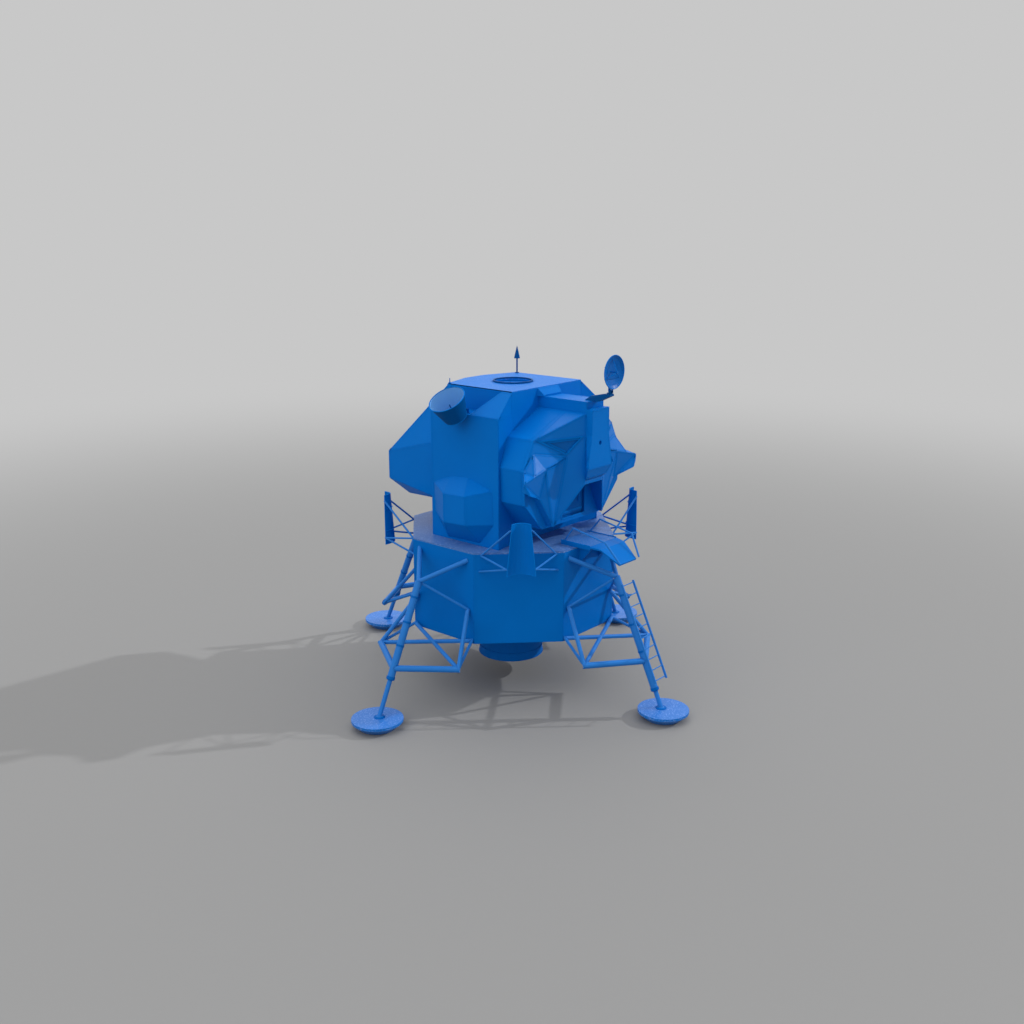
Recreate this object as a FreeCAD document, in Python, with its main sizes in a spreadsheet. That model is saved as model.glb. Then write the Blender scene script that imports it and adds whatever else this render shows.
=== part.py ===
# Two-stage lunar lander: octagonal descent stage on four legs, faceted crewed ascent stage on top.
# Millimetres, +Z up. Origin on the ground under the centre; front (ladder) -Y, port +X.
import FreeCAD
import Part
import Sketcher
import math
import os

from FreeCAD import Placement, Rotation, Vector

doc = FreeCAD.newDocument("LunarLander")
sheet = doc.addObject("Spreadsheet::Sheet", "Sizes")

# Driving sizes: alias, millimetres (degrees where the name says angle), what it is.
SIZES = (
    ("pad_out", 1990, "hull face to footpad centre"),
    ("pad_radius", 535, "footpad radius"),
    ("pad_height", 197, "footpad top height"),
    ("hull_reach", 2200, "centre to a leg face of the octagon"),
    ("hull_flat", 877, "half width of a leg face"),
    ("hull_base", 1440, "underside of the descent stage"),
    ("deck_top", 3420, "top of the descent stage deck"),
    ("deck_sheet", 25, "deck plate thickness"),
    ("leg_top_out", 720, "hull face to the top joint of a leg"),
    ("leg_top_height", 2810, "height of the top joint of a leg"),
    ("leg_radius", 78, "primary strut outer tube radius"),
    ("piston_radius", 49, "primary strut inner tube radius"),
    ("side_radius", 66, "secondary strut radius"),
    ("elbow_out", 780, "hull face to the elbow of a secondary strut"),
    ("elbow_spread", 1150, "elbow to the leg plane"),
    ("elbow_height", 1190, "elbow height"),
    ("knee_height", 1130, "height where the secondary struts meet the primary"),
    ("outrigger_radius", 50, "outrigger tube radius"),
    ("tie_radius", 28, "thin tie radius"),
    ("truss_radius", 45, "deployment truss tube radius"),
    ("stay_radius", 32, "deployment truss lower stay radius"),
    ("bell_exit", 735, "engine bell exit radius"),
    ("bell_low", 420, "engine bell exit height"),
    ("gimbal_height", 2350, "engine gimbal height"),
    ("shield_out", 624.2324, "hull corner face to a plume deflector's side edge"),
    ("shield_low", 3100, "plume deflector bottom height"),
    ("shield_high", 4190, "plume deflector top height"),
    ("shield_rod", 21, "plume deflector strut radius"),
    ("ascent_width", 3908, "ascent stage width over the front cheeks"),
    ("ascent_length", 4860, "ascent stage front column to aft bay"),
    ("ascent_height", 3235, "deck to roof"),
    ("wall", 60, "cabin wall thickness"),
    ("hatch_width", 800, "forward hatch opening width"),
    ("hatch_height", 780, "forward hatch opening height"),
    ("tunnel_radius", 406, "docking tunnel radius"),
    ("radar_radius", 350, "rendezvous radar dish radius"),
    ("cup_radius", 390, "steerable antenna rim radius"),
    ("cup_back_radius", 240, "steerable antenna back radius"),
    ("cup_depth", 500, "steerable antenna depth"),
    ("rung_pitch", 229, "ladder rung spacing"),
    ("rail_radius", 20, "porch rail radius"),
)
for row, (alias, size, meaning) in enumerate(SIZES, start=1):
    sheet.set("A%d" % row, meaning)
    sheet.set("B%d" % row, str(size))
    sheet.setAlias("B%d" % row, alias)
doc.recompute()


def size(alias):
    """Value of one driving size."""
    return float(sheet.get(alias))


SEAT = 0.3        # gap between pieces that touch
CLEAR = 6.0       # gap beside pieces that move

NODES = {}


def node(name, *objects):
    """Register a node made of one or more document objects."""
    if len(objects) == 1:
        NODES[name] = objects[0]
        return objects[0]
    pack = doc.addObject("Part::Compound", name + "_set")
    pack.Links = list(objects)
    NODES[name] = pack
    return pack


def feature(name, shape):
    """Hold a computed shape as a document object."""
    obj = doc.addObject("Part::Feature", name)
    obj.Shape = shape
    return obj


def bar(name, start, end, radius, sides=8):
    """Many-sided rod between two points."""
    a = Vector(*start)
    b = Vector(*end)
    obj = doc.addObject("Part::Prism", name)
    obj.Polygon = sides
    obj.Circumradius = radius
    obj.Height = (b - a).Length
    obj.Placement = Placement(a, Rotation(Vector(0, 0, 1), b - a))
    return obj


def pin(name, start, end, radius):
    """Round pin or disc between two points."""
    a = Vector(*start)
    b = Vector(*end)
    obj = doc.addObject("Part::Cylinder", name)
    obj.Radius = radius
    obj.Height = (b - a).Length
    obj.Placement = Placement(a, Rotation(Vector(0, 0, 1), b - a))
    return obj


# Tubes are noted first and built once all that meet at their ends are known.
TUBES = []        # (group, name, start, end, radius, sides)
STOPS = []        # (joint, point on a flat, way out of the flat): tubes of the joint end on the flat
LIKE = 0.6        # share of the radius from which tubes share a mitre; a thinner one ends on the flank
HEEL = 0.55       # how far a tube runs past its joint before it is mitred, in radii
WASTE = 440.0     # cube that stands for the cut-off side of an end plane
STRAIGHT = -0.98  # cosine of two ways below which two tubes run on into each other


def tube(group, name, start, end, radius_alias, sides=8):
    """Note a tube between two joints."""
    TUBES.append((group, name, Vector(*start), Vector(*end), size(radius_alias), sides))


def stop(joint, point, outward):
    """Note a flat that ends the tubes of a joint."""
    STOPS.append((Vector(*joint), Vector(*point), Vector(*outward).normalize()))


def corners_round(way, radius, sides):
    """Corners of a many-sided tube's outline about its axis."""
    turn = Rotation(Vector(0, 0, 1), way)
    made = []
    for n in range(sides):
        angle = 2.0 * math.pi * n / sides
        made.append(turn.multVec(Vector(radius * math.cos(angle), radius * math.sin(angle), 0)))
    return made


def flank(way, radius, sides, side):
    """Reach of a many-sided tube from its axis in one direction."""
    return max(corner.dot(side) for corner in corners_round(way, radius, sides))


def end_planes(line, joint, way):
    """Planes that end a tube at a joint, each with the way that is kept."""
    radius = line[4]
    planes = []
    for place, point, outward in STOPS:
        if (place - joint).Length < 1.0:
            planes.append((point + outward * SEAT, outward))
    for other in TUBES:
        if other is line:
            continue
        start, end, other_radius, sides = other[2:]
        run = (end - start).normalize()
        if (start - joint).Length < 1.0:
            other_way = run
        elif (end - joint).Length < 1.0:
            other_way = run * -1.0
        else:
            continue
        straight = way.dot(other_way) < STRAIGHT
        if radius < LIKE * other_radius and not straight:
            side = (way - other_way * way.dot(other_way)).normalize()
            planes.append((joint + side * (flank(run, other_radius, sides, side) + SEAT), side))
        elif other_radius >= LIKE * radius or straight:
            split = (way - other_way).normalize()
            planes.append((joint + split * (SEAT / 2.0), split))
    return planes


def tube_shape(line):
    """Many-sided tube mitred at both its joints."""
    start, end, radius, sides = line[2:]
    way = (end - start).normalize()
    low = start - way * (HEEL * radius)
    ring = [low + corner for corner in corners_round(way, radius, sides)]
    shape = Part.Face(Part.makePolygon(ring + [ring[0]])).extrude(end - start + way * (2.0 * HEEL * radius))
    for joint, out in ((start, way), (end, way * -1.0)):
        for point, kept in end_planes(line, joint, out):
            waste = Part.makeBox(WASTE, WASTE, WASTE, Vector(-WASTE / 2, -WASTE / 2, -WASTE))
            beside = joint + kept * (point - joint).dot(kept)
            waste.Placement = Placement(beside, Rotation(Vector(0, 0, 1), kept))
            shape = shape.cut(waste)
    return shape.Solids[0]


def tubes_of(group):
    """Document objects for the tubes noted for a node."""
    return [feature(line[1], tube_shape(line)) for line in TUBES if line[0] == group]


def box(name, low, high):
    """Box between two corners."""
    obj = doc.addObject("Part::Box", name)
    obj.Length = high[0] - low[0]
    obj.Width = high[1] - low[1]
    obj.Height = high[2] - low[2]
    obj.Placement = Placement(Vector(*low), Rotation())
    return obj


def fuse(name, *objects):
    """Union of document objects."""
    obj = doc.addObject("Part::MultiFuse", name)
    obj.Shapes = list(objects)
    obj.Refine = True
    return obj


def cut(name, base, tool):
    """Difference of two document objects."""
    obj = doc.addObject("Part::Cut", name)
    obj.Base = base
    obj.Tool = tool
    obj.Refine = True
    return obj


def hull_shape(points):
    """Convex solid over corner points, one planar face for each outer plane."""
    pts = [Vector(*p) for p in points]
    middle = Vector(0, 0, 0)
    for p in pts:
        middle = middle + p
    middle = middle * (1.0 / len(pts))
    faces = []
    seen = set()
    count = len(pts)
    for i in range(count):
        for j in range(i + 1, count):
            for k in range(j + 1, count):
                normal = (pts[j] - pts[i]).cross(pts[k] - pts[i])
                if normal.Length < 1.0:
                    continue
                normal = normal.normalize()
                if normal.dot(pts[i] - middle) < 0:
                    normal = normal * -1.0
                level = normal.dot(pts[i])
                gaps = [normal.dot(p) - level for p in pts]
                if max(gaps) > 0.05:
                    continue
                flat = tuple(n for n, g in enumerate(gaps) if g > -0.05)
                if flat in seen:
                    continue
                seen.add(flat)
                faces.append(ring_face([pts[n] for n in flat], normal))
    shell = Part.makeShell(faces)
    shell.sewShape()
    return Part.makeSolid(shell)


def ring_face(pts, normal):
    """Planar face through points, put in order around their middle."""
    middle = Vector(0, 0, 0)
    for p in pts:
        middle = middle + p
    middle = middle * (1.0 / len(pts))
    first = (pts[0] - middle).normalize()
    second = normal.cross(first)
    order = sorted(pts, key=lambda p: math.atan2((p - middle).dot(second), (p - middle).dot(first)))
    kept = []
    total = len(order)
    for n, p in enumerate(order):
        before = (p - order[n - 1]).normalize()
        after = (order[(n + 1) % total] - p).normalize()
        if before.cross(after).Length > 1e-4:
            kept.append(p)
    return Part.Face(Part.makePolygon(kept + [kept[0]]))


def facet_shape(corners, faces):
    """Solid from named corners and faces given as lists of corner names."""
    made = []
    for names in faces:
        loop = [Vector(*corners[n]) for n in names]
        made.append(Part.Face(Part.makePolygon(loop + [loop[0]])))
    shell = Part.makeShell(made)
    shell.sewShape()
    solid = Part.makeSolid(shell)
    if solid.Volume < 0:
        solid.reverse()
    return solid


def spun(name, profile, centre=(0, 0, 0), axis=(0, 0, 1), sides=24):
    """Many-sided solid about an axis from (radius, height) corners."""
    place = Placement(Vector(*centre), Rotation(Vector(0, 0, 1), Vector(*axis)))
    rings = []
    for radius, height in profile:
        steps = sides if radius > 1e-6 else 1
        ring = []
        for n in range(steps):
            angle = 2.0 * math.pi * n / sides
            ring.append(place.multVec(Vector(radius * math.cos(angle), radius * math.sin(angle), height)))
        rings.append(ring)
    faces = []
    for n, ring in enumerate(rings):
        other = rings[(n + 1) % len(rings)]
        level = abs(profile[n][1] - profile[(n + 1) % len(rings)][1]) < 1e-6
        if len(ring) == 1 and len(other) == 1:
            continue
        if level and 1 in (len(ring), len(other)):
            loops = [ring if len(ring) > 1 else other]
        elif len(ring) == 1:
            loops = [[ring[0], other[k], other[(k + 1) % sides]] for k in range(sides)]
        elif len(other) == 1:
            loops = [[ring[k], ring[(k + 1) % sides], other[0]] for k in range(sides)]
        else:
            loops = [[ring[k], ring[(k + 1) % sides], other[(k + 1) % sides], other[k]] for k in range(sides)]
        for loop in loops:
            faces.append(Part.Face(Part.makePolygon(loop + [loop[0]])))
    shell = Part.makeShell(faces)
    shell.sewShape()
    solid = Part.makeSolid(shell)
    if solid.Volume < 0:
        solid.reverse()
    return feature(name, solid)


def disc(radius, low, tall, upper=None):
    """Profile of a plain disc, with another radius at the top if given."""
    top = radius if upper is None else upper
    return [(0, low), (radius, low), (top, low + tall), (0, low + tall)]


def plane_of(body, role):
    """Origin plane of a body by its role."""
    for item in body.Origin.OriginFeatures:
        if item.Role == role:
            return item
    return None


def sketch_loop(sketch, points, offset=0):
    """Closed polyline of fixed corners in a sketch."""
    total = len(points)
    for n, p in enumerate(points):
        q = points[(n + 1) % total]
        sketch.addGeometry(Part.LineSegment(Vector(p[0], p[1], 0), Vector(q[0], q[1], 0)), False)
    for n in range(total):
        sketch.addConstraint(Sketcher.Constraint("Coincident", offset + n, 2, offset + (n + 1) % total, 1))
    for n in range(total):
        sketch.addConstraint(Sketcher.Constraint("Block", offset + n))


def turned(name, profile, centre=(0, 0, 0), axis=(0, 0, 1)):
    """PartDesign body turned about its own Z axis from (radius, height) corners."""
    body = doc.addObject("PartDesign::Body", name)
    sketch = body.newObject("Sketcher::SketchObject", name + "_profile")
    sketch.AttachmentSupport = (plane_of(body, "XZ_Plane"), [""])
    sketch.MapMode = "FlatFace"
    sketch_loop(sketch, profile)
    turn = body.newObject("PartDesign::Revolution", name + "_turn")
    turn.Profile = sketch
    turn.ReferenceAxis = (sketch, ["V_Axis"])
    turn.Angle = 360
    body.Tip = turn
    body.Placement = Placement(Vector(*centre), Rotation(Vector(0, 0, 1), Vector(*axis)))
    return body


def plate(name, loops, height_expression, base):
    """PartDesign body: closed loops padded up from a height."""
    body = doc.addObject("PartDesign::Body", name)
    sketch = body.newObject("Sketcher::SketchObject", name + "_outline")
    sketch.AttachmentSupport = (plane_of(body, "XY_Plane"), [""])
    sketch.MapMode = "FlatFace"
    start = 0
    for points in loops:
        sketch_loop(sketch, points, start)
        start = start + len(points)
    pad = body.newObject("PartDesign::Pad", name + "_pad")
    pad.Profile = sketch
    pad.setExpression("Length", height_expression)
    body.Tip = pad
    body.Placement = Placement(Vector(0, 0, base), Rotation())
    return body


def both(points):
    """Corner points with their mirror images across the centre plane."""
    made = []
    for x, y, z in points:
        made.append((x, y, z))
        if abs(x) > 1e-6:
            made.append((-x, y, z))
    return made


# ---------------------------------------------------------------- descent stage
REACH = size("hull_reach")
FLAT = size("hull_flat")
DECK = size("deck_top")
BASE = size("hull_base")
OCTAGON = [
    (FLAT, -REACH), (REACH, -FLAT), (REACH, FLAT), (FLAT, REACH),
    (-FLAT, REACH), (-REACH, FLAT), (-REACH, -FLAT), (-FLAT, -REACH),
]
HULL_TALL = "Sizes.deck_top - Sizes.hull_base - Sizes.deck_sheet - %g" % SEAT
IN = FLAT - SEAT / 2.0
BAYS = (
    # node, low corner, high corner
    ("bay_front", (-IN, -REACH), (IN, -FLAT)),
    ("bay_aft", (-IN, FLAT), (IN, REACH)),
    ("bay_stbd", (-REACH, -IN), (-FLAT, IN)),
    ("bay_port", (FLAT, -IN), (REACH, IN)),
)
for bay, low, high in BAYS:
    loop = [(low[0], low[1]), (high[0], low[1]), (high[0], high[1]), (low[0], high[1])]
    node(bay, plate(bay, [loop], HULL_TALL, BASE))
OUT = FLAT + SEAT / 2.0
corner_loops = []
for sx, sy in ((-1, -1), (1, -1), (1, 1), (-1, 1)):
    reach = REACH + FLAT - OUT
    loop = [(sx * OUT, sy * OUT), (sx * reach, sy * OUT), (sx * OUT, sy * reach)]
    corner_loops.append(loop)
corner_parts = []
for n, loop in enumerate(corner_loops):
    corner_parts.append(plate("corner_bay_%d" % n, [loop], HULL_TALL, BASE))
node("corner_bays", *corner_parts)
node("descent_deck", plate("deck_plate", [OCTAGON], "Sizes.deck_sheet", DECK - size("deck_sheet")))

# ---------------------------------------------------------------- landing legs
LEGS = (
    # name, angle, height of the outer tube's lower end
    ("front", -90.0, 560.0),
    ("stbd", 180.0, 930.0),
    ("aft", 90.0, 930.0),
    ("port", 0.0, 930.0),
)
PAD_REACH = REACH + size("pad_out")
TOP = (REACH + size("leg_top_out"), 0.0, size("leg_top_height"))
FOOT = (PAD_REACH - 60.0, 0.0, size("pad_height") + 15.0)
KNEE_SHARE = (TOP[2] - size("knee_height")) / (TOP[2] - FOOT[2])
UPPER = DECK - 190.0
MIDDLE = BASE + 740.0
LOWER = BASE + 70.0
LEG_SIDES = 18
PAD_SIDES = 32


def along(a, b, share):
    """Point at a share of the way from a to b."""
    return tuple(p + (q - p) * share for p, q in zip(a, b))


def around(angle):
    """Function placing (reach, side, height) points for a leg at an angle."""
    c = math.cos(math.radians(angle))
    s = math.sin(math.radians(angle))
    return lambda p: (p[0] * c - p[1] * s, p[0] * s + p[1] * c, p[2])


PAD_R = size("pad_radius")
PAD_Z = size("pad_height")
PAD_PROFILE = [(0, 0), (PAD_R * 0.70, 0), (PAD_R, PAD_Z * 0.72), (PAD_R, PAD_Z), (0, PAD_Z)]
SOCKET = 26.0     # height of the ball socket on a footpad
pads = []
sockets = {}
for leg, angle, sleeve_low in LEGS:
    spot = around(angle)
    outward = spot((1, 0, 0))
    knee = along(TOP, FOOT, KNEE_SHARE)
    sleeve = along(TOP, FOOT, (TOP[2] - sleeve_low) / (TOP[2] - FOOT[2]))
    strut = "primary_strut_" + leg
    tube(strut, "leg_upper_" + leg, spot(TOP), spot(knee), "leg_radius", LEG_SIDES)
    tube(strut, "leg_lower_" + leg, spot(knee), spot(sleeve), "leg_radius", LEG_SIDES)
    tube(strut, "leg_piston_" + leg, spot(sleeve), spot(FOOT), "piston_radius", LEG_SIDES)
    stop(spot(FOOT), (0, 0, PAD_Z + SOCKET + SEAT), (0, 0, 1))
    sockets[leg] = spun("leg_socket_" + leg, disc(78, PAD_Z + SEAT, SOCKET, 66),
                        spot((FOOT[0], 0.0, 0.0)), (0, 0, 1), LEG_SIDES)
    middle = spot((PAD_REACH, 0.0, 0.0))
    pads.append(spun("footpad_" + leg, PAD_PROFILE, middle, (0, 0, 1), PAD_SIDES))
    elbow_far = (REACH + size("elbow_out"), size("elbow_spread"), size("elbow_height"))
    low_far = (REACH + size("stay_radius"), -(FLAT - 40.0), LOWER)
    crossing = along(elbow_far, low_far, elbow_far[1] / (elbow_far[1] - low_far[1]))
    for sign, tag in ((1, "a"), (-1, "b")):
        key = leg + "_" + tag
        elbow = (elbow_far[0], sign * elbow_far[1], elbow_far[2])
        high = (REACH, sign * (FLAT - 190.0), UPPER)
        mid = (REACH + size("tie_radius"), sign * (FLAT - 145.0), MIDDLE)
        low = (low_far[0], -sign * low_far[1], LOWER)
        for end in (high, mid, low):
            stop(spot(end), spot((REACH, 0.0, 0.0)), outward)
        tube("secondary_struts_" + leg, "side_strut_" + key, spot(knee), spot(elbow), "side_radius", 12)
        tube("outriggers", "outrigger_" + key, spot(TOP), spot(high), "outrigger_radius", 10)
        tube("outriggers", "tie_" + key, spot(TOP), spot(mid), "tie_radius")
        tube("leg_trusses", "truss_mid_" + key, spot(mid), spot(elbow), "truss_radius")
        tube("leg_trusses", "truss_low_" + key, spot(low), spot(elbow), "stay_radius")
        tube("leg_trusses", "truss_out_" + key, spot(crossing), spot(elbow), "truss_radius")
        tube("leg_trusses", "truss_in_" + key, spot(low), spot(crossing), "truss_radius")
for leg, angle, sleeve_low in LEGS:
    node("primary_strut_" + leg, *tubes_of("primary_strut_" + leg), sockets[leg])
    node("secondary_struts_" + leg, *tubes_of("secondary_struts_" + leg))
node("footpads", *pads)
node("outriggers", *tubes_of("outriggers"))
node("leg_trusses", *tubes_of("leg_trusses"))

# ---------------------------------------------------------------- plume deflectors
FACE_REACH = (REACH + FLAT) / math.sqrt(2.0)
FACE_HALF = (REACH - FLAT) / math.sqrt(2.0)
SHIELD = FACE_REACH + size("shield_out")
SHIELD_LOW = size("shield_low")
SHIELD_HIGH = size("shield_high")
SHIELD_SHEET = 16.0
SHIELD_STRIPS = 8
SHIELD_HALF_LOW = 290.0
SHIELD_HALF_HIGH = 185.0
SHIELD_DIP = 190.0
SHIELDS = (("fs", -135.0), ("fp", -45.0), ("ap", 45.0), ("as", 135.0))


def shield_half(level):
    """Half width of a deflector at a height."""
    share = (level - SHIELD_LOW) / (SHIELD_HIGH - SHIELD_LOW)
    return SHIELD_HALF_LOW + (SHIELD_HALF_HIGH - SHIELD_HALF_LOW) * share


def shield_row(spot, level, thick):
    """Points across a deflector at a height; both ends are scaled copies, so its strips are flat."""
    scale = shield_half(level) / SHIELD_HALF_LOW
    made = []
    for n in range(SHIELD_STRIPS + 1):
        turn = math.pi * (n / SHIELD_STRIPS - 0.5)
        side = SHIELD_HALF_LOW * math.sin(turn * 0.86) / math.sin(math.pi * 0.43)
        dip = SHIELD_DIP * (1.0 - (side / SHIELD_HALF_LOW) ** 2)
        made.append(spot((SHIELD - thick * scale - dip * scale, side * scale, level)))
    return made


SHIELD_FEET = (
    # joint, side and height on the octagon's face
    ("upper", FACE_HALF - 155.0, DECK - 50.0),
    ("lower", FACE_HALF - 125.0, DECK - 390.0),
)
SHIELD_LUGS = (
    # joint, height on the deflector's edge
    ("head", SHIELD_HIGH - 130.0),
    ("heel", SHIELD_LOW + 150.0),
)
SHIELD_STRUTS = (("head", "upper"), ("heel", "upper"), ("heel", "lower"))
shields = []
for corner, angle in SHIELDS:
    spot = around(angle)
    marks = {}
    for key, level, thick in (
        ("lo", SHIELD_LOW, 0.0),
        ("li", SHIELD_LOW, SHIELD_SHEET),
        ("ho", SHIELD_HIGH, 0.0),
        ("hi", SHIELD_HIGH, SHIELD_SHEET),
    ):
        for n, mark in enumerate(shield_row(spot, level, thick)):
            marks[key + str(n)] = mark
    last = str(SHIELD_STRIPS)
    walls = [["lo0", "li0", "hi0", "ho0"], ["lo" + last, "li" + last, "hi" + last, "ho" + last]]
    for n in range(SHIELD_STRIPS):
        a = str(n)
        b = str(n + 1)
        walls.append(["lo" + a, "lo" + b, "ho" + b, "ho" + a])
        walls.append(["li" + a, "li" + b, "hi" + b, "hi" + a])
        walls.append(["lo" + a, "lo" + b, "li" + b, "li" + a])
        walls.append(["ho" + a, "ho" + b, "hi" + b, "hi" + a])
    shields.append(feature("shield_" + corner, facet_shape(marks, walls)))
    for sign, tag in ((1, "a"), (-1, "b")):
        taper = shield_half(SHIELD_LOW) - shield_half(SHIELD_HIGH)
        edge = Vector(0, sign * (SHIELD_HIGH - SHIELD_LOW), taper)
        edge = spot(tuple(edge.normalize()))
        joints = {}
        for joint, side, level in SHIELD_FEET:
            joints[joint] = spot((FACE_REACH, sign * side, level))
            stop(joints[joint], spot((FACE_REACH, 0.0, 0.0)), spot((1, 0, 0)))
        for joint, level in SHIELD_LUGS:
            on_edge = spot((SHIELD - SHIELD_SHEET / 2.0, sign * shield_half(level), level))
            joints[joint] = tuple(Vector(*on_edge) + Vector(*edge) * size("shield_rod"))
            stop(joints[joint], on_edge, edge)
        for lug, foot in SHIELD_STRUTS:
            tube("deflector_struts", "strut_%s_%s_%s_%s" % (lug, foot, corner, tag),
                 joints[lug], joints[foot], "shield_rod", 6)
node("plume_deflectors", *shields)
node("deflector_struts", *tubes_of("deflector_struts"))

# ---------------------------------------------------------------- porch, rails, ladder
FRONT = -REACH - SEAT
STEP = DECK + 80.0
LIP = FRONT - 360.0
PORCH = 470.0
porch_parts = [
    box("porch_floor", (-PORCH, LIP, DECK + SEAT), (PORCH, FRONT + 400.0, STEP)),
    feature("porch_lip", hull_shape(both([
        (PORCH, LIP - SEAT, STEP), (PORCH, LIP - SEAT, STEP - 40), (PORCH - 50, LIP - 240, STEP - 30),
        (PORCH - 50, LIP - 240, STEP - 60),
    ]))),
    feature("porch_apron", hull_shape(both([
        (PORCH - 50, LIP - 240 - SEAT, STEP - 30), (PORCH - 50, LIP - 240 - SEAT, STEP - 60),
        (300, LIP - 640, STEP - 300), (300, LIP - 630, STEP - 330),
    ]))),
]
for sign, tag in ((1, "a"), (-1, "b")):
    porch_parts.append(feature("porch_bracket_" + tag, hull_shape([
        (sign * 360, FRONT, DECK), (sign * 320, FRONT, DECK), (sign * 360, FRONT, DECK - 380),
        (sign * 320, FRONT, DECK - 380), (sign * 360, FRONT - 330, DECK), (sign * 320, FRONT - 330, DECK),
    ])))
node("porch", *porch_parts)

for sign, tag in ((1, "a"), (-1, "b")):
    stops = [
        (sign * (PORCH - 30), FRONT + 330, STEP),
        (sign * PORCH, FRONT + 80, STEP + 320),
        (sign * PORCH, FRONT - 750, STEP + 160),
        (sign * 345, LIP - 670, STEP - 260),
    ]
    stop(stops[0], stops[0], (0, 0, 1))
    for n in range(3):
        tube("porch_rails", "rail_%s_%d" % (tag, n), stops[n], stops[n + 1], "rail_radius")
node("porch_rails", *tubes_of("porch_rails"))

LADDER_HALF = 200.0
LADDER_HIGH = (-(REACH + 1000.0), DECK - 670.0)
LADDER_LOW = (-(PAD_REACH - 80.0), 800.0)
ladder_way = Vector(0, LADDER_LOW[0] - LADDER_HIGH[0], LADDER_LOW[1] - LADDER_HIGH[1])
ladder_long = ladder_way.Length
ladder_way = ladder_way.normalize()
ladder_parts = []
for sign, tag in ((1, "a"), (-1, "b")):
    side = feature("ladder_side_" + tag, Part.makeBox(24, 46, ladder_long))
    side.Placement = Placement(
        Vector(sign * LADDER_HALF - 12, LADDER_HIGH[0], LADDER_HIGH[1]),
        Rotation(Vector(0, 0, 1), ladder_way),
    ).multiply(Placement(Vector(0, -23, 0), Rotation()))
    ladder_parts.append(side)
rung_count = int((ladder_long - 60.0) // size("rung_pitch")) + 1
rung_end = LADDER_HALF - 12.0 - SEAT
RUNG = 11.0
FIRST_RUNG = 40.0
for n in range(rung_count):
    level = FIRST_RUNG + n * size("rung_pitch")
    y = LADDER_HIGH[0] + ladder_way.y * level
    z = LADDER_HIGH[1] + ladder_way.z * level
    ladder_parts.append(bar("rung_%d" % n, (-rung_end, y, z), (rung_end, y, z), RUNG))
leg_start = Vector(0, -TOP[0], TOP[2])
leg_way = (Vector(0, -FOOT[0], FOOT[2]) - leg_start).normalize()
leg_out = Vector(0, leg_way.z, -leg_way.y)
leg_flank = flank(leg_way, size("leg_radius"), LEG_SIDES, leg_out) + SEAT
rung_flank = flank(Vector(1, 0, 0), RUNG, 8, leg_out) + SEAT
for n in (1, rung_count // 2):
    level = FIRST_RUNG + n * size("rung_pitch")
    rung = Vector(0, LADDER_HIGH[0] + ladder_way.y * level, LADDER_HIGH[1] + ladder_way.z * level)
    on_leg = leg_start + leg_way * (rung - leg_start).dot(leg_way)
    ladder_parts.append(bar("ladder_stay_%d" % n, tuple(on_leg + leg_out * leg_flank),
                            tuple(rung - leg_out * rung_flank), 22.0))
node("ladder", *ladder_parts)

# ---------------------------------------------------------------- descent engine
GIMBAL = size("gimbal_height")
EXIT = size("bell_exit")
BELL_LOW = size("bell_low")
BELL = ((160, 2140), (520, 1500), (690, 880), (735, 420))
NECK = 210.0      # gimbal to the bell's upper end
BELL_RISE = (GIMBAL - NECK - BELL_LOW) / (BELL[0][1] - BELL[-1][1])
BELL_SPREAD = EXIT / BELL[-1][0]
bell_stops = [(r * BELL_SPREAD, BELL_LOW + (z - BELL[-1][1]) * BELL_RISE) for r, z in BELL]
BELL_WALL = 24.0
bell_inner = [(r - BELL_WALL, z) for r, z in reversed(bell_stops)]
node("engine_bell", spun("engine_bell", bell_stops + bell_inner, sides=48))
TRUNNION = 34.0
engine_parts = [
    spun("engine_chamber", [
        (0, GIMBAL - NECK + SEAT), (170, GIMBAL - NECK + SEAT), (215, GIMBAL - 120), (215, GIMBAL + 160),
        (120, GIMBAL + 230), (0, GIMBAL + 230),
    ]),
    pin("engine_pin", (0, -294, GIMBAL), (0, 294, GIMBAL), TRUNNION),
]
node("engine_block", fuse("engine_block", *engine_parts))
ring_body = spun("gimbal_hoop", [
    (302, GIMBAL - 45), (352, GIMBAL - 45), (352, GIMBAL + 45), (302, GIMBAL + 45),
], sides=32)
node("gimbal_ring", ring_body)
mounts = []
BEAM_END = 420.0
for sign, tag in ((1, "a"), (-1, "b")):
    beam = box("engine_beam_" + tag,
               (min(sign * BEAM_END, sign * (FLAT - SEAT)), -60, GIMBAL - 50),
               (max(sign * BEAM_END, sign * (FLAT - SEAT)), 60, GIMBAL + 50))
    stub = pin("engine_stub_" + tag, (sign * 358, 0, GIMBAL), (sign * (BEAM_END + 10), 0, GIMBAL), TRUNNION)
    mounts.append(fuse("engine_mount_" + tag, beam, stub))
node("engine_mounts", *mounts)

# ---------------------------------------------------------------- ascent stage
WIDE = size("ascent_width") / 3908.0
LONG = size("ascent_length") / 4860.0
TALL = size("ascent_height") / 3235.0
WALL = size("wall")


def up(x, y, z):
    """Ascent stage corner from its table position."""
    return (x * WIDE, y * LONG, DECK + (z - 3420.0) * TALL)


def ups(points):
    """Several ascent stage corners."""
    return [up(*p) for p in points]


def solid_hull(name, points):
    """Convex ascent stage piece from table corners."""
    return feature(name, hull_shape(ups(points)))


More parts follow.
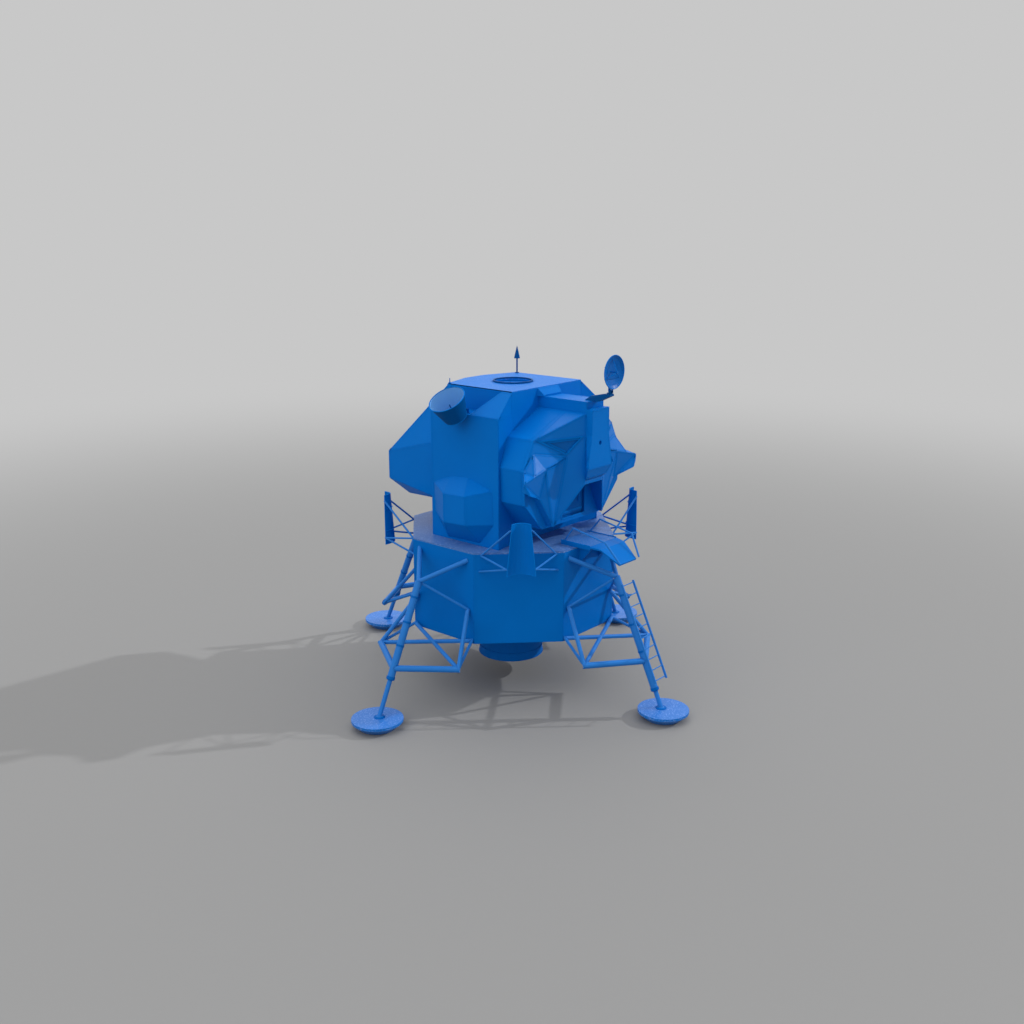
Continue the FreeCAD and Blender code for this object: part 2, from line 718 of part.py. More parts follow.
# Midsection: hollow core between the two side bays.
CORE = 1150.0 - SEAT
core_block = solid_hull("core_block", both([
    (CORE, -1030, 3420), (CORE, 810, 3420), (CORE, -1030, 6635 - SEAT), (CORE, 810, 6635 - SEAT),
]))
core_room = solid_hull("core_room", both([
    (1080, -760, 4450), (1080, 740, 4450), (1080, -760, 6605), (1080, 740, 6605),
]))
core_way = solid_hull("core_way", both([
    (x, y, z) for x, z in ((750, 3910), (750, 5860), (300, 6070)) for y in (-1100, -750)
]))
tunnel = doc.addObject("Part::Cylinder", "tunnel")
tunnel.setExpression("Radius", "Sizes.tunnel_radius")
tunnel.Height = 400
tunnel.Placement = Placement(Vector(*up(0, -60, 6500)), Rotation())
node("midsection", cut("midsection", core_block, fuse("core_hollow", core_room, core_way, tunnel)))

ROOF = [(-1150, -1030), (1150, -1030), (1125, 812), (300, 1080), (-300, 1080), (-1125, 812)]
roof_body = solid_hull("roof_block", [(x, y, z) for x, y in ROOF for z in (6635, 6655)])
roof_hole = doc.addObject("Part::Cylinder", "roof_hole")
roof_hole.setExpression("Radius", "Sizes.tunnel_radius")
roof_hole.Height = 400
roof_hole.Placement = Placement(Vector(*up(0, -60, 6500)), Rotation())
node("roof_panel", cut("roof_panel", roof_body, roof_hole))

TUNNEL = size("tunnel_radius")
ring_z = up(0, 0, 6655)[2] + SEAT
node("docking_ring", turned("docking_ring", [
    (TUNNEL, ring_z), (TUNNEL + 30, ring_z), (TUNNEL + 30, ring_z + 34), (TUNNEL, ring_z + 34),
], (0, up(0, -60, 0)[1], 0)))

SIDE = 1150.0


def side_bay(name, sign):
    """Side bay beside the core, chamfered to the roof in front and open on top for an antenna."""
    part_a = solid_hull(name + "_block", [
        (sign * x, y, z)
        for x, y in ((1700, -1130), (SIDE, -1030), (SIDE, 780), (1700, 780))
        for z in (3420, 6170)
    ])
    top = 6170 + SEAT
    part_b = solid_hull(name + "_fore", [
        (sign * 1700, -1130, top), (sign * 1700, -330, top),
        (sign * SIDE, -330, top), (sign * SIDE, -1030, top),
        (sign * SIDE, -1030, 6635 - SEAT), (sign * SIDE, -750, 6635 - SEAT),
    ])
    part_c = solid_hull(name + "_fin", [
        (sign * 1350, 780, top), (sign * 1320, 690, top), (sign * SIDE, 690, top), (sign * SIDE, 780, top),
        (sign * SIDE, 780, 6635 - SEAT), (sign * SIDE, 690, 6635 - SEAT),
    ])
    return part_a, part_b, part_c


side_stbd = side_bay("side_bay_stbd", -1)
side_port = side_bay("side_bay_port", 1)
node("side_bay_stbd", *side_stbd)
node("side_bay_port", *side_port)


def tank(name, sign, extra):
    """Faceted tank fairing on a side bay."""
    face = 1700.0 + SEAT
    return solid_hull(name, [
        (sign * face, 720, 4610), (sign * face, 210, 4800),
        (sign * face, -280, 4840), (sign * face, -950, 4650),
        (sign * (2030 + extra), 130, 4500), (sign * (2080 + extra), -520, 4540),
        (sign * (2030 + extra), 130, 3880), (sign * (2080 + extra), -540, 3930),
        (sign * face, -990, 3940), (sign * face, 700, 4000),
        (sign * face, 320, 3460), (sign * face, -610, 3480),
    ])


node("tank_stbd", tank("tank_stbd", -1, 0.0))
node("tank_port", tank("tank_port", 1, 120.0))

AFT = 810.0 + SEAT
node("aft_bay", solid_hull("aft_bay", both([
    (1120, AFT, 6630), (1500, AFT, 5440), (1480, AFT, 4180), (1150, AFT, 4060), (300, 1080, 6634),
    (1400, 2430, 5000), (1400, 2430, 4380), (1150, 2040, 4040),
])))

# Crew cabin: ring of walls, front bulkhead, faceted nose with two windows.
RING = ((290, 6235), (1340, 5760), (1640, 5170), (1600, 4450), (1050, 3850))


def ring_loop(shrink):
    """Cabin cross-section corners (side, height), moved in by a wall."""
    inner = ((270, 6235), (1310, 5765), (1640, 5170), (1600, 4470), (1030, 3850))
    source = RING if shrink == 0 else inner
    made = []
    for x, z in source:
        made.append((max(x - shrink, 40.0), z - shrink if z > 5000 else z + shrink))
    return made + [(-x, z) for x, z in reversed(made)]


def ring_solid(name, shrink, y_low, y_high):
    """Cabin cross-section run fore and aft."""
    loop = [up(x, 0, z) for x, z in ring_loop(shrink)]
    wire = Part.makePolygon([Vector(p[0], y_low, p[2]) for p in loop + loop[:1]])
    return feature(name, Part.Face(wire).extrude(Vector(0, y_high - y_low, 0)))


Y_BULK = up(0, -1750, 0)[1]
Y_WALL = Y_BULK + WALL
Y_CORE = up(0, -1030, 0)[1] - SEAT
shell_out = ring_solid("shell_out", 0, Y_WALL + SEAT, Y_CORE)
shell_in = ring_solid("shell_in", WALL, Y_WALL - 100, Y_CORE + 100)
shell_ring = cut("shell_ring", shell_out, shell_in)
trims = []
for sign, tag in ((1, "port"), (-1, "stbd")):
    trims.append(solid_hull("shell_trim_" + tag, [
        (sign * x, y, z) for x, y in ((1800, -1149), (SIDE - 1, -1030.5), (SIDE - 1, -800), (1800, -800))
        for z in (3300, 6700)
    ]))
node("cabin_shell", cut("cabin_shell", shell_ring, fuse("shell_trims", *trims)))

HATCH_LOW = up(0, 0, 3850)[2] + WALL + 25.0
HATCH_W = size("hatch_width")
HATCH_H = size("hatch_height")
nose_room = solid_hull("nose_room", both([
    (215, -2150, 6120), (215, -1600, 6120), (1150, -1690, 5700), (1150, -1600, 5700), (215, -2150, 5420),
    (500, -1960, 5400), (1060, -1770, 5330), (1290, -1700, 5280), (1330, -1600, 5280),
]))
bulk_plate = ring_solid("bulk_plate", 0, Y_BULK + SEAT, Y_WALL)
hatch_hole = box("hatch_hole", (-HATCH_W / 2, Y_BULK - 50, HATCH_LOW),
                 (HATCH_W / 2, Y_WALL + 50, HATCH_LOW + HATCH_H))
node("front_bulkhead", cut("front_bulkhead", bulk_plate, fuse("bulk_holes", nose_room, hatch_hole)))

CANT = (2277.0 - 1885.0) / (847.0 - 290.0)


def canted(x):
    """Fore position of the canted front at a side position."""
    return -2277.0 + CANT * (x - 290.0)


HALF = {
    "ridge": (-290, canted(290), 6235),
    "roof": (-290, -1750, 6235),
    "brow": (-1340, -1750, 5760),
    "pane_in": (-290, canted(290), 5800),
    "pane_low": (-620, canted(620), 5370),
    "corner": (-1390, -1790, 5500),
    "sill": (-1233, -1993, 5180),
    "ledge": (-1600, -2002, 5090),
    "flank": (-1640, -1750, 5170),
    "cheek_top": (-1930, -2010, 5007),
    "cheek_out": (-1954, -1987, 4845),
    "cheek_low": (-1783, -2055, 4740),
    "jaw": (-1289, -1861, 4565),
    "point": (-847, canted(847), 3880),
    "chin": (-290, canted(290), 4750),
    "notch": (-820, -1995, 5230),
    "back_flank": (-1617, -1750, 4750),
    "back_jaw": (-1270, -1750, 4480),
    "back_point": (-890, -1750, 3880),
    "back_chin": (-430, -1750, 4750),
}
corners = {}
for key, (x, y, z) in HALF.items():
    corners[key] = up(x, y, z)
    corners[key + "*"] = up(-x, y, z)
HALF_FACES = (
    "ridge brow roof", "ridge pane_in brow", "pane_in pane_low brow", "brow pane_low corner",
    "corner pane_low sill", "pane_low notch sill", "corner sill ledge", "brow corner flank",
    "corner ledge flank", "flank ledge cheek_top", "flank cheek_top cheek_out", "flank cheek_out back_flank",
    "sill jaw ledge", "ledge jaw cheek_top", "cheek_top jaw cheek_low", "cheek_top cheek_low cheek_out",
    "back_flank cheek_out cheek_low", "back_flank cheek_low jaw", "back_flank jaw back_jaw",
    "notch point sill", "sill point jaw", "pane_low point notch", "pane_in chin point pane_low",
    "chin back_chin back_point", "chin back_point point", "point back_point back_jaw", "point back_jaw jaw",
)
faces = []
for text in HALF_FACES:
    names = text.split()
    faces.append(names)
    faces.append([n + "*" for n in names])
faces.append(["ridge", "roof", "roof*", "ridge*"])
faces.append(["ridge", "pane_in", "chin", "chin*", "pane_in*", "ridge*"])
faces.append(["chin", "back_chin", "back_chin*", "chin*"])
faces.append(
    ["roof", "brow", "flank", "back_flank", "back_jaw", "back_point", "back_chin",
     "back_chin*", "back_point*", "back_jaw*", "back_flank*", "flank*", "brow*", "roof*"]
)
nose_block = feature("nose_block", facet_shape(corners, faces))


def pane_shape(sign_key, inset, depth_out, depth_in):
    """Prism over a window triangle, moved in from its edges."""
    tri = [Vector(*corners[n + sign_key]) for n in ("brow", "pane_in", "pane_low")]
    middle = (tri[0] + tri[1] + tri[2]) * (1.0 / 3.0)
    normal = (tri[1] - tri[0]).cross(tri[2] - tri[0]).normalize()
    if normal.y > 0:
        normal = normal * -1.0
    moved = []
    for n in range(3):
        a = tri[n - 1]
        b = tri[n]
        c = tri[(n + 1) % 3]
        one = (a - b).normalize()
        two = (c - b).normalize()
        half = math.acos(max(-1.0, min(1.0, one.dot(two)))) / 2.0
        bisector = (one + two).normalize()
        moved.append(b + bisector * (inset / math.sin(half)))
    loop = [p + normal * depth_out for p in moved]
    face = Part.Face(Part.makePolygon(loop + [loop[0]]))
    return face.extrude(normal * (-(depth_out + depth_in)))


window_cuts = []
panes = []
for key, tag in (("", "stbd"), ("*", "port")):
    window_cuts.append(feature("window_cut_" + tag, pane_shape(key, 52.0, 60.0, 260.0)))
    panes.append(feature("pane_" + tag, pane_shape(key, 52.0 + SEAT, -22.0, 36.0)))
node("cabin_front", cut("cabin_front", nose_block, fuse("nose_hollow", nose_room, *window_cuts)))
node("window_panes", *panes)

COLUMN_BACK = canted(290) - SEAT
column_parts = [
    solid_hull("column_main", both([
        (290, -2430, 6320), (290, COLUMN_BACK, 6320), (296, -2430, 5780), (290, COLUMN_BACK, 5780),
    ])),
    solid_hull("column_low", both([
        (296, -2430, 5780), (290, COLUMN_BACK, 5780), (426, -2438, 5100), (290, COLUMN_BACK, 5100),
        (345, -2345, 4890), (290, COLUMN_BACK, 4840),
    ])),
]
column_all = fuse("column_all", *column_parts)
lamp_hole = bar("lamp_hole", up(0, -2500, 5610), up(0, -2380, 5610), 45.0, 16)
node("nose_column", cut("nose_column", column_all, lamp_hole))

BEAM_LOW = 6235.0 + SEAT
node(
    "radar_beam",
    solid_hull("beam_run", both([
        (290, COLUMN_BACK, BEAM_LOW), (290, COLUMN_BACK, 6470),
        (290, -1030 - SEAT, BEAM_LOW), (290, -1030 - SEAT, 6470),
    ])),
    solid_hull("beam_ramp", both([
        (350, -1030 - SEAT, 6470 + SEAT), (350, -1030 - SEAT, 6640),
        (290, -1190, 6470 + SEAT), (290, -1190, 6474),
    ])),
)

# Forward hatch: plate behind the bulkhead, hinged on the starboard side, opening inward.
LAP = 22.0
hatch_y = Y_WALL + CLEAR
hatch_plate = box("hatch_plate", (-HATCH_W / 2 - LAP, hatch_y, HATCH_LOW - 12),
                  (HATCH_W / 2 + LAP, hatch_y + 28, HATCH_LOW + HATCH_H + LAP))
hatch_dish = box("hatch_dish", (-HATCH_W / 2 + 60, hatch_y - 30, HATCH_LOW + 60),
                 (HATCH_W / 2 - 60, hatch_y + 10, HATCH_LOW + HATCH_H - 60))
BARREL = 13.0      # hinge barrel radius
barrel_spot = (-HATCH_W / 2 - LAP, hatch_y + 14)
hatch_barrels = []
for n, share in enumerate((0.15, 0.75)):
    low = HATCH_LOW + HATCH_H * share
    hatch_barrels.append(pin("hatch_barrel_%d" % n, barrel_spot + (low,), barrel_spot + (low + 80,), BARREL))
node("forward_hatch", fuse("forward_hatch", hatch_plate, hatch_dish, *hatch_barrels))

# Docking hatch: disc under the tunnel, hinged aft, opening inward.
dock_z = up(0, 0, 6605)[2] - CLEAR
dock_y = up(0, -60, 0)[1]
dock_disc = spun("dock_disc", [
    (0, dock_z - 50), (TUNNEL - 80, dock_z - 50), (TUNNEL - 40, dock_z - 24), (TUNNEL + 24, dock_z - 24),
    (TUNNEL + 24, dock_z), (0, dock_z),
], (0, dock_y, 0), (0, 0, 1), 40)
dock_hinge = (dock_y + TUNNEL + 36, dock_z - 12)
dock_tab = box("dock_tab", (-60, dock_hinge[0] - 40, dock_z - 24), (60, dock_hinge[0], dock_z))
dock_barrel = pin("dock_barrel", (-60,) + dock_hinge, (60,) + dock_hinge, 12.0)
node("docking_hatch", fuse("docking_hatch", dock_disc, dock_tab, dock_barrel))

# Rendezvous radar: housing on the beam, turntable with two lugs, dish on an arm swinging between them.
TURN_Y = -2640.0
node("radar_base", solid_hull("radar_base", both([
    (90, -2080, 6470 + SEAT), (90, COLUMN_BACK - 140, 6470 + SEAT), (60, -2200, 6560), (70, -2690, 6640),
    (70, -2700, 6600), (70, -2560, 6640),
])))
TURN_Z = up(0, 0, 6640)[2] + CLEAR
PIV_Y = up(0, -2670, 0)[1]
PIV_Z = TURN_Z + 66.0
turn_spot = (0, up(0, TURN_Y, 0)[1], 0)
radar_yoke = [
    pin("radar_turntable", (0, turn_spot[1], TURN_Z), (0, turn_spot[1], TURN_Z + 18), 60.0),
]
for sign, tag in ((1, "a"), (-1, "b")):
    radar_yoke.append(box("radar_lug_" + tag, (min(sign * 36, sign * 48), PIV_Y - 20, TURN_Z + 10),
                          (max(sign * 36, sign * 48), PIV_Y + 34, PIV_Z + 18)))
node("radar_yoke", fuse("radar_yoke", *radar_yoke))
DISH_R = size("radar_radius")
DISH_Z = PIV_Z + DISH_R + 28.0
DISH_Y = PIV_Y + 25.0
bowl_spot = (0, DISH_Y, DISH_Z)
dish_bowl = spun("dish_bowl", [
    (0, 0), (DISH_R * 0.5, 16), (DISH_R * 0.82, 56), (DISH_R, 96), (DISH_R - 8, 102), (DISH_R * 0.8, 66),
    (DISH_R * 0.48, 28), (0, 14),
], bowl_spot, (0, -1, 0), 32)
dish_hub = spun("dish_hub", disc(60, -26, 32), bowl_spot, (0, -1, 0))
dish_feed = spun("dish_feed", [
    (0, 8), (12, 8), (12, 150), (34, 160), (34, 178), (0, 178),
], bowl_spot, (0, -1, 0), 12)
dish_arm = box("dish_arm", (-26, DISH_Y + 6, PIV_Z - 16), (26, DISH_Y + 30, DISH_Z + 40))
dish_heel = box("dish_heel", (-28, PIV_Y, PIV_Z - 16), (28, DISH_Y + 30, PIV_Z + 16))
dish_boss = pin("dish_boss", (-28, PIV_Y, PIV_Z), (28, PIV_Y, PIV_Z), 18.0)
node("radar_dish", fuse("radar_dish", dish_bowl, dish_hub, dish_feed, dish_arm, dish_heel, dish_boss))

# Steerable antenna on the starboard shoulder: turntable, lugs, deep cup facing up and outboard.
CUP_AXIS = Vector(-0.545, 0, 0.838).normalize()
CUP_DEPTH = size("cup_depth")
CUP_R = size("cup_radius")
CUP_B = size("cup_back_radius")
SHOULDER = up(0, 0, 6170)[2]
SP_X, SP_Y, SP_Z = up(-1575, -130, 6170)
SP_Z = SHOULDER + 80.0
ACROSS = Vector(-0.838, 0, -0.545).normalize()
back = Vector(SP_X, SP_Y, SP_Z) + CUP_AXIS * 49.0 + ACROSS * 328.0
S_BASE = SHOULDER + SEAT
node("sband_base", spun("sband_base", disc(92, S_BASE, 18, 84), (SP_X, SP_Y, 0)))
S_TURN = S_BASE + 18 + CLEAR
sband_yoke = [
    pin("sband_turntable", (SP_X, SP_Y, S_TURN), (SP_X, SP_Y, S_TURN + 16), 60.0),
]
for sign, tag in ((1, "a"), (-1, "b")):
    near = SP_Y + sign * 44
    far = SP_Y + sign * 58
    sband_yoke.append(box("sband_lug_" + tag, (SP_X - 24, min(near, far), S_TURN + 8),
                          (SP_X + 24, max(near, far), SP_Z)))
    sband_yoke.append(pin("sband_eye_" + tag, (SP_X, near, SP_Z), (SP_X, far, SP_Z), 24.0))
node("sband_yoke", fuse("sband_yoke", *sband_yoke))
cup = spun("cup", [
    (0, 0), (CUP_B, 0), (CUP_R, CUP_DEPTH), (CUP_R - 14, CUP_DEPTH), (CUP_B - 12, 16), (0, 16),
], tuple(back), tuple(CUP_AXIS), 40)
cup_feed = spun("cup_feed", [
    (0, 16 + SEAT), (18, 16 + SEAT), (12, CUP_DEPTH * 0.7), (0, CUP_DEPTH * 0.7),
], tuple(back), tuple(CUP_AXIS), 10)
BOSS = 20.0       # round end of the cup's heel on its pivot
heel = Vector(SP_X, SP_Y, SP_Z)
HEEL_WIDE = 72.0
heel_outline = [(49.0 - SEAT, 96.0), (49.0 - SEAT, 140.0)]
for n in range(11):
    angle = math.radians(153.0 + (344.0 - 153.0) * n / 10)
    heel_outline.append((BOSS * math.cos(angle), BOSS * math.sin(angle)))
heel_loop = [heel + CUP_AXIS * a + ACROSS * b - Vector(0, HEEL_WIDE / 2, 0) for a, b in heel_outline]
heel_face = Part.Face(Part.makePolygon(heel_loop + [heel_loop[0]]))
cup_heel = feature("cup_heel", heel_face.extrude(Vector(0, HEEL_WIDE, 0)))
node("sband_dish", cup, cup_feed, cup_heel)

# Whip antenna for the walk outside, on the roof's aft port corner.
eva_x, eva_y, eva_z = up(1050, 720, 6655)
node("eva_antenna", spun("eva_antenna", [
    (0, eva_z + SEAT), (50, eva_z + SEAT), (50, eva_z + 14), (18, eva_z + 14), (18, eva_z + 335),
    (70, eva_z + 335), (4, eva_z + 615), (0, eva_z + 615),
], (eva_x, eva_y, 0), (0, 0, 1), 12))

doc.recompute()
for obj in doc.Objects:
    bad = [s for s in obj.State if s in ("Invalid", "Error")]
    if bad:
        raise RuntimeError("%s is %s" % (obj.Name, bad))
os.makedirs("parts", exist_ok=True)
for name, obj in NODES.items():
    shape = obj.Shape
    if shape.isNull() or not shape.isValid():
        raise RuntimeError(name + " has no valid shape")
    if not shape.Solids:
        raise RuntimeError(name + " has no solid")
    shape.exportStep("parts/%s.step" % name)
print("nodes", len(NODES))
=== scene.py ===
import logging
import math
from dataclasses import dataclass
from enum import Enum
from typing import ClassVar, Optional, Sequence

import bmesh
import bpy
from mathutils import Matrix, Vector
from mathutils.bvhtree import BVHTree


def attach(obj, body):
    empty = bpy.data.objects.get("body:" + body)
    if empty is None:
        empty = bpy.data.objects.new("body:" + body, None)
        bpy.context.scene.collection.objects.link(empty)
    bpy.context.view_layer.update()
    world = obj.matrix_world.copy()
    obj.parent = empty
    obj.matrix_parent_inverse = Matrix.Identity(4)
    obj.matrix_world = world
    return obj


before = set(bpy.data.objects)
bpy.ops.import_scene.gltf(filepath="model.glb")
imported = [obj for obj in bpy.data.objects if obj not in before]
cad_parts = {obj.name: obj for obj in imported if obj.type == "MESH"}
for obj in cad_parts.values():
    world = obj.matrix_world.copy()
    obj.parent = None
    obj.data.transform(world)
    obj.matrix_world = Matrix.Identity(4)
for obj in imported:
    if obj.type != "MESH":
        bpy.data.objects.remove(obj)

LOG = logging.getLogger("lunar_lander")
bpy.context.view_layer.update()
ROOT = "lander"
MM = 1000.0
UP = (0.0, 0.0, 1.0)
AHEAD = (0.0, -1.0, 0.0)
Point = Sequence[float]
Pair = tuple[float, float]
Triple = tuple[float, float, float]
Colour = tuple[float, float, float, float]


# -------- colours and nodes
def linear(code: str) -> Colour:
    """Turns an sRGB hex code into linear colour.

    Args:
        code: colour as #RRGGBB.

    Returns:
        Linear red, green and blue, and an alpha of 1.
    """
    made = []
    for start in (1, 3, 5):
        part = int(code[start:start + 2], 16) / 255.0
        made.append(part / 12.92 if part <= 0.04045 else ((part + 0.055) / 1.055) ** 2.4)
    return (made[0], made[1], made[2], 1.0)


def shifted(colour: Colour, factor: float = 1.0, lift: float = 0.0) -> Colour:
    """Returns a colour multiplied by a factor and raised, held at white."""
    red, green, blue = (min(1.0, part * factor + lift) for part in colour[:3])
    return (red, green, blue, 1.0)


def add_node(tree: bpy.types.NodeTree, kind: str, inputs: Optional[dict] = None,
             **settings: object) -> bpy.types.Node:
    """Adds a node with its settings, values and links.

    Args:
        tree: node tree that gets the node.
        kind: Blender's name of the node type.
        inputs: socket name or number to a value or to a socket to link from.
        settings: properties set on the node.

    Returns:
        The new node.
    """
    node = tree.nodes.new(kind)
    for key, value in settings.items():
        setattr(node, key, value)
    for key, value in (inputs or {}).items():
        if isinstance(value, bpy.types.NodeSocket):
            tree.links.new(value, node.inputs[key])
        else:
            node.inputs[key].default_value = value
    return node


def noise(tree: bpy.types.NodeTree, place: bpy.types.NodeSocket, size_mm: float, detail: float,
          roughness: float = 0.5) -> bpy.types.NodeSocket:
    """Adds a noise pattern sized in millimetres.

    Args:
        tree: node tree that gets the node.
        place: position on the object.
        size_mm: size of the pattern.
        detail: number of finer layers.
        roughness: strength of the finer layers.

    Returns:
        Socket with the pattern's height.
    """
    return add_node(tree, "ShaderNodeTexNoise", {
        "Vector": place, "Scale": MM / size_mm, "Detail": detail, "Roughness": roughness,
    }).outputs["Fac"]


def blank_material(name: str) -> bpy.types.Material:
    """Adds a material with an empty node tree.

    Args:
        name: name of the material.

    Returns:
        The new material.
    """
    made = bpy.data.materials.new(name)
    made.use_nodes = True
    made.node_tree.nodes.clear()
    return made


class Tone(Enum):
    """Blues of the painted pieces, as sRGB hex."""

    HULL = "#006AC0"
    DECK = "#0C6CC4"
    SKIN = "#006DC6"
    SHADE = "#0260B4"
    EDGE = "#0072CA"
    GLASS = "#0260B2"
    DARK = "#024A88"
    # Painted reflection inside the cup.
    LINING_REFLECTION = "#66A2DE"
    # Painted shade on the outside of the cup.
    CUP_SHADE = "#02508F"
    TUBE = "#2676C8"
    # Painted shadow: the dark line in the gap under the roof's edges.
    GAP_SHADOW = "#012C58"
    # Greyish deck blue: partly the deck's own colour, partly painted reflection.
    PLATFORM = "#4472B2"
    ROOF = "#0A70CC"


class Finish:
    """A finish that builds its material once."""

    name: str

    def fill(self, tree: bpy.types.NodeTree) -> None:
        """Adds the finish's nodes to a tree."""
        raise NotImplementedError

    def material(self) -> bpy.types.Material:
        """Builds the material, or finds it if it is already there.

        Returns:
            The finish as a material.
        """
        found = bpy.data.materials.get(self.name)
        if found:
            return found
        made = blank_material(self.name)
        self.fill(made.node_tree)
        return made


@dataclass(frozen=True)
class PaintFinish(Finish):
    """Matt two-pack epoxy sprayed on aluminium: an even colour that loses its shine.

    Sizes of the clouds, orange peel, sheet waves and grit are in millimetres, depths in metres.
    """

    name: str
    tone: Tone
    roughness: float = 0.36
    cloud_mm: float = 900.0
    cloud_strength: float = 0.06
    peel_mm: float = 9.0
    peel_depth: float = 0.0005
    wave_mm: float = 420.0
    wave_depth: float = 0.02
    speckle: float = 0.0
    sheen: float = 0.04
    grit_mm: float = 12.0

    IOR: ClassVar[float] = 1.5
    GLINT: ClassVar[Pair] = (0.52, 0.70)
    GRIT: ClassVar[Pair] = (0.3, 0.7)
    ROUGH: ClassVar[Pair] = (-0.05, 0.07)

    def fill(self, tree: bpy.types.NodeTree) -> None:
        """Adds the paint's nodes.

        Args:
            tree: empty node tree of the material.
        """
        base = linear(self.tone.value)
        place = add_node(tree, "ShaderNodeTexCoord").outputs["Object"]
        # Spray passes dry a shade apart: soft clouds about a forearm wide.
        cloud = noise(tree, place, self.cloud_mm, 3.0)
        tint = add_node(tree, "ShaderNodeMix", {
            "Factor": cloud, "A": shifted(base, 1.0 - self.cloud_strength),
            "B": shifted(base, 1.0 + self.cloud_strength),
        }, data_type="RGBA")
        colour = tint.outputs["Result"]
        # Overspray grit, drawn coarser than the real one because grit of under 1 mm doesn't show.
        grit = noise(tree, place, self.grit_mm, 2.0, 0.7)
        if self.speckle > 0.0:
            # The tops of the grains are painted pale: painted highlight glints on the grit.
            level = add_node(tree, "ShaderNodeMapRange", {
                "Value": grit, "From Min": self.GLINT[0], "From Max": self.GLINT[1],
            })
            mixed = add_node(tree, "ShaderNodeMix", {
                "Factor": level.outputs["Result"], "A": colour, "B": shifted(base, lift=self.speckle),
            }, data_type="RGBA")
            colour = mixed.outputs["Result"]
        rough = add_node(tree, "ShaderNodeMapRange", {
            "Value": grit, "From Min": self.GRIT[0], "From Max": self.GRIT[1],
            "To Min": self.roughness + self.ROUGH[0], "To Max": self.roughness + self.ROUGH[1],
        })
        # Sheet between its rivets is never quite flat.
        wave = noise(tree, place, self.wave_mm, 1.0)
        waved = add_node(tree, "ShaderNodeBump", {
            "Height": wave, "Strength": 0.5, "Distance": self.wave_depth,
        })
        # Sprayed epoxy dries with a fine orange peel.
        peel = noise(tree, place, self.peel_mm, 2.0)
        bumped = add_node(tree, "ShaderNodeBump", {
            "Height": peel, "Strength": 0.35, "Distance": self.peel_depth,
            "Normal": waved.outputs["Normal"],
        })
        shader = add_node(tree, "ShaderNodeBsdfPrincipled", {
            "Base Color": colour, "Roughness": rough.outputs["Result"],
            "Normal": bumped.outputs["Normal"], "IOR": self.IOR, "Specular IOR Level": self.sheen,
        })
        add_node(tree, "ShaderNodeOutputMaterial", {"Surface": shader.outputs["BSDF"]})


@dataclass(frozen=True)
class PaneFinish(Finish):
    """Coated flat glass: an even blue with a soft haze in its gloss."""

    name: str = "coated window glass"
    tone: Tone = Tone.GLASS
    sheen: float = 0.10
    haze_mm: float = MM / 6.0

    IOR: ClassVar[float] = 1.52
    ROUGH: ClassVar[Pair] = (0.22, 0.34)

    def fill(self, tree: bpy.types.NodeTree) -> None:
        """Adds the glass's nodes.

        Args:
            tree: empty node tree of the material.
        """
        place = add_node(tree, "ShaderNodeTexCoord").outputs["Object"]
        haze = noise(tree, place, self.haze_mm, 4.0)
        rough = add_node(tree, "ShaderNodeMapRange", {
            "Value": haze, "To Min": self.ROUGH[0], "To Max": self.ROUGH[1],
        })
        shader = add_node(tree, "ShaderNodeBsdfPrincipled", {
            "Base Color": linear(self.tone.value), "Roughness": rough.outputs["Result"],
            "IOR": self.IOR, "Specular IOR Level": self.sheen,
        })
        add_node(tree, "ShaderNodeOutputMaterial", {"Surface": shader.outputs["BSDF"]})


# Matt epoxy sprayed on flat sheet: an even mid blue with slow waves in its faint shine.
HULL_PAINT = PaintFinish("hull paint on sheet", Tone.HULL)
# Epoxy with sand rolled into it: dull and grainy, with the tops of the grains painted pale as painted
# highlight glints. The deck's greyish tone is partly its own colour and partly painted reflection.
DECK_PAINT = PaintFinish("gritty deck paint", Tone.PLATFORM, roughness=0.42, speckle=0.14,
                         grit_mm=34.0, sheen=0.18)
# Roof and footpads: the same grit, its tops painted pale as painted highlight glints.
ROOF_PAINT = PaintFinish("gritty roof paint", Tone.ROOF, roughness=0.46, speckle=0.10,
                         grit_mm=34.0, sheen=0.07)
PAD_PAINT = PaintFinish("gritty footpad paint", Tone.DECK, roughness=0.40, speckle=0.16,
                        grit_mm=34.0, sheen=0.30)
# Smoother coats on the nose: its facets brighten when they face a lamp.
NOSE_PAINT = PaintFinish("nose panel paint", Tone.SKIN, roughness=0.34, sheen=0.11)
# The same epoxy on the cabin, a touch lighter than the hull.
SKIN_PAINT = PaintFinish("cabin skin paint", Tone.SKIN)
# Enamel on drawn tube: smooth, a little greyer, and bright along the tube.
TUBE_PAINT = PaintFinish("strut tube paint", Tone.TUBE, roughness=0.45, wave_depth=0.0, sheen=0.12)
# Thin epoxy on machined aluminium: a finer peel and a shade darker than the sheet.
FITTING_PAINT = PaintFinish("machined fitting paint", Tone.SHADE, roughness=0.48, wave_depth=0.0,
                            peel_mm=5.0)
# Epoxy brushed on narrow edges: lighter and duller than the sheet.
EDGE_PAINT = PaintFinish("batten paint", Tone.EDGE, roughness=0.55, wave_depth=0.0)
# Heat-proof paint on spun sheet: dull, a shade dark, and hardly waved.
BELL_PAINT = PaintFinish("engine bell paint", Tone.SHADE, roughness=0.55, wave_depth=0.004)
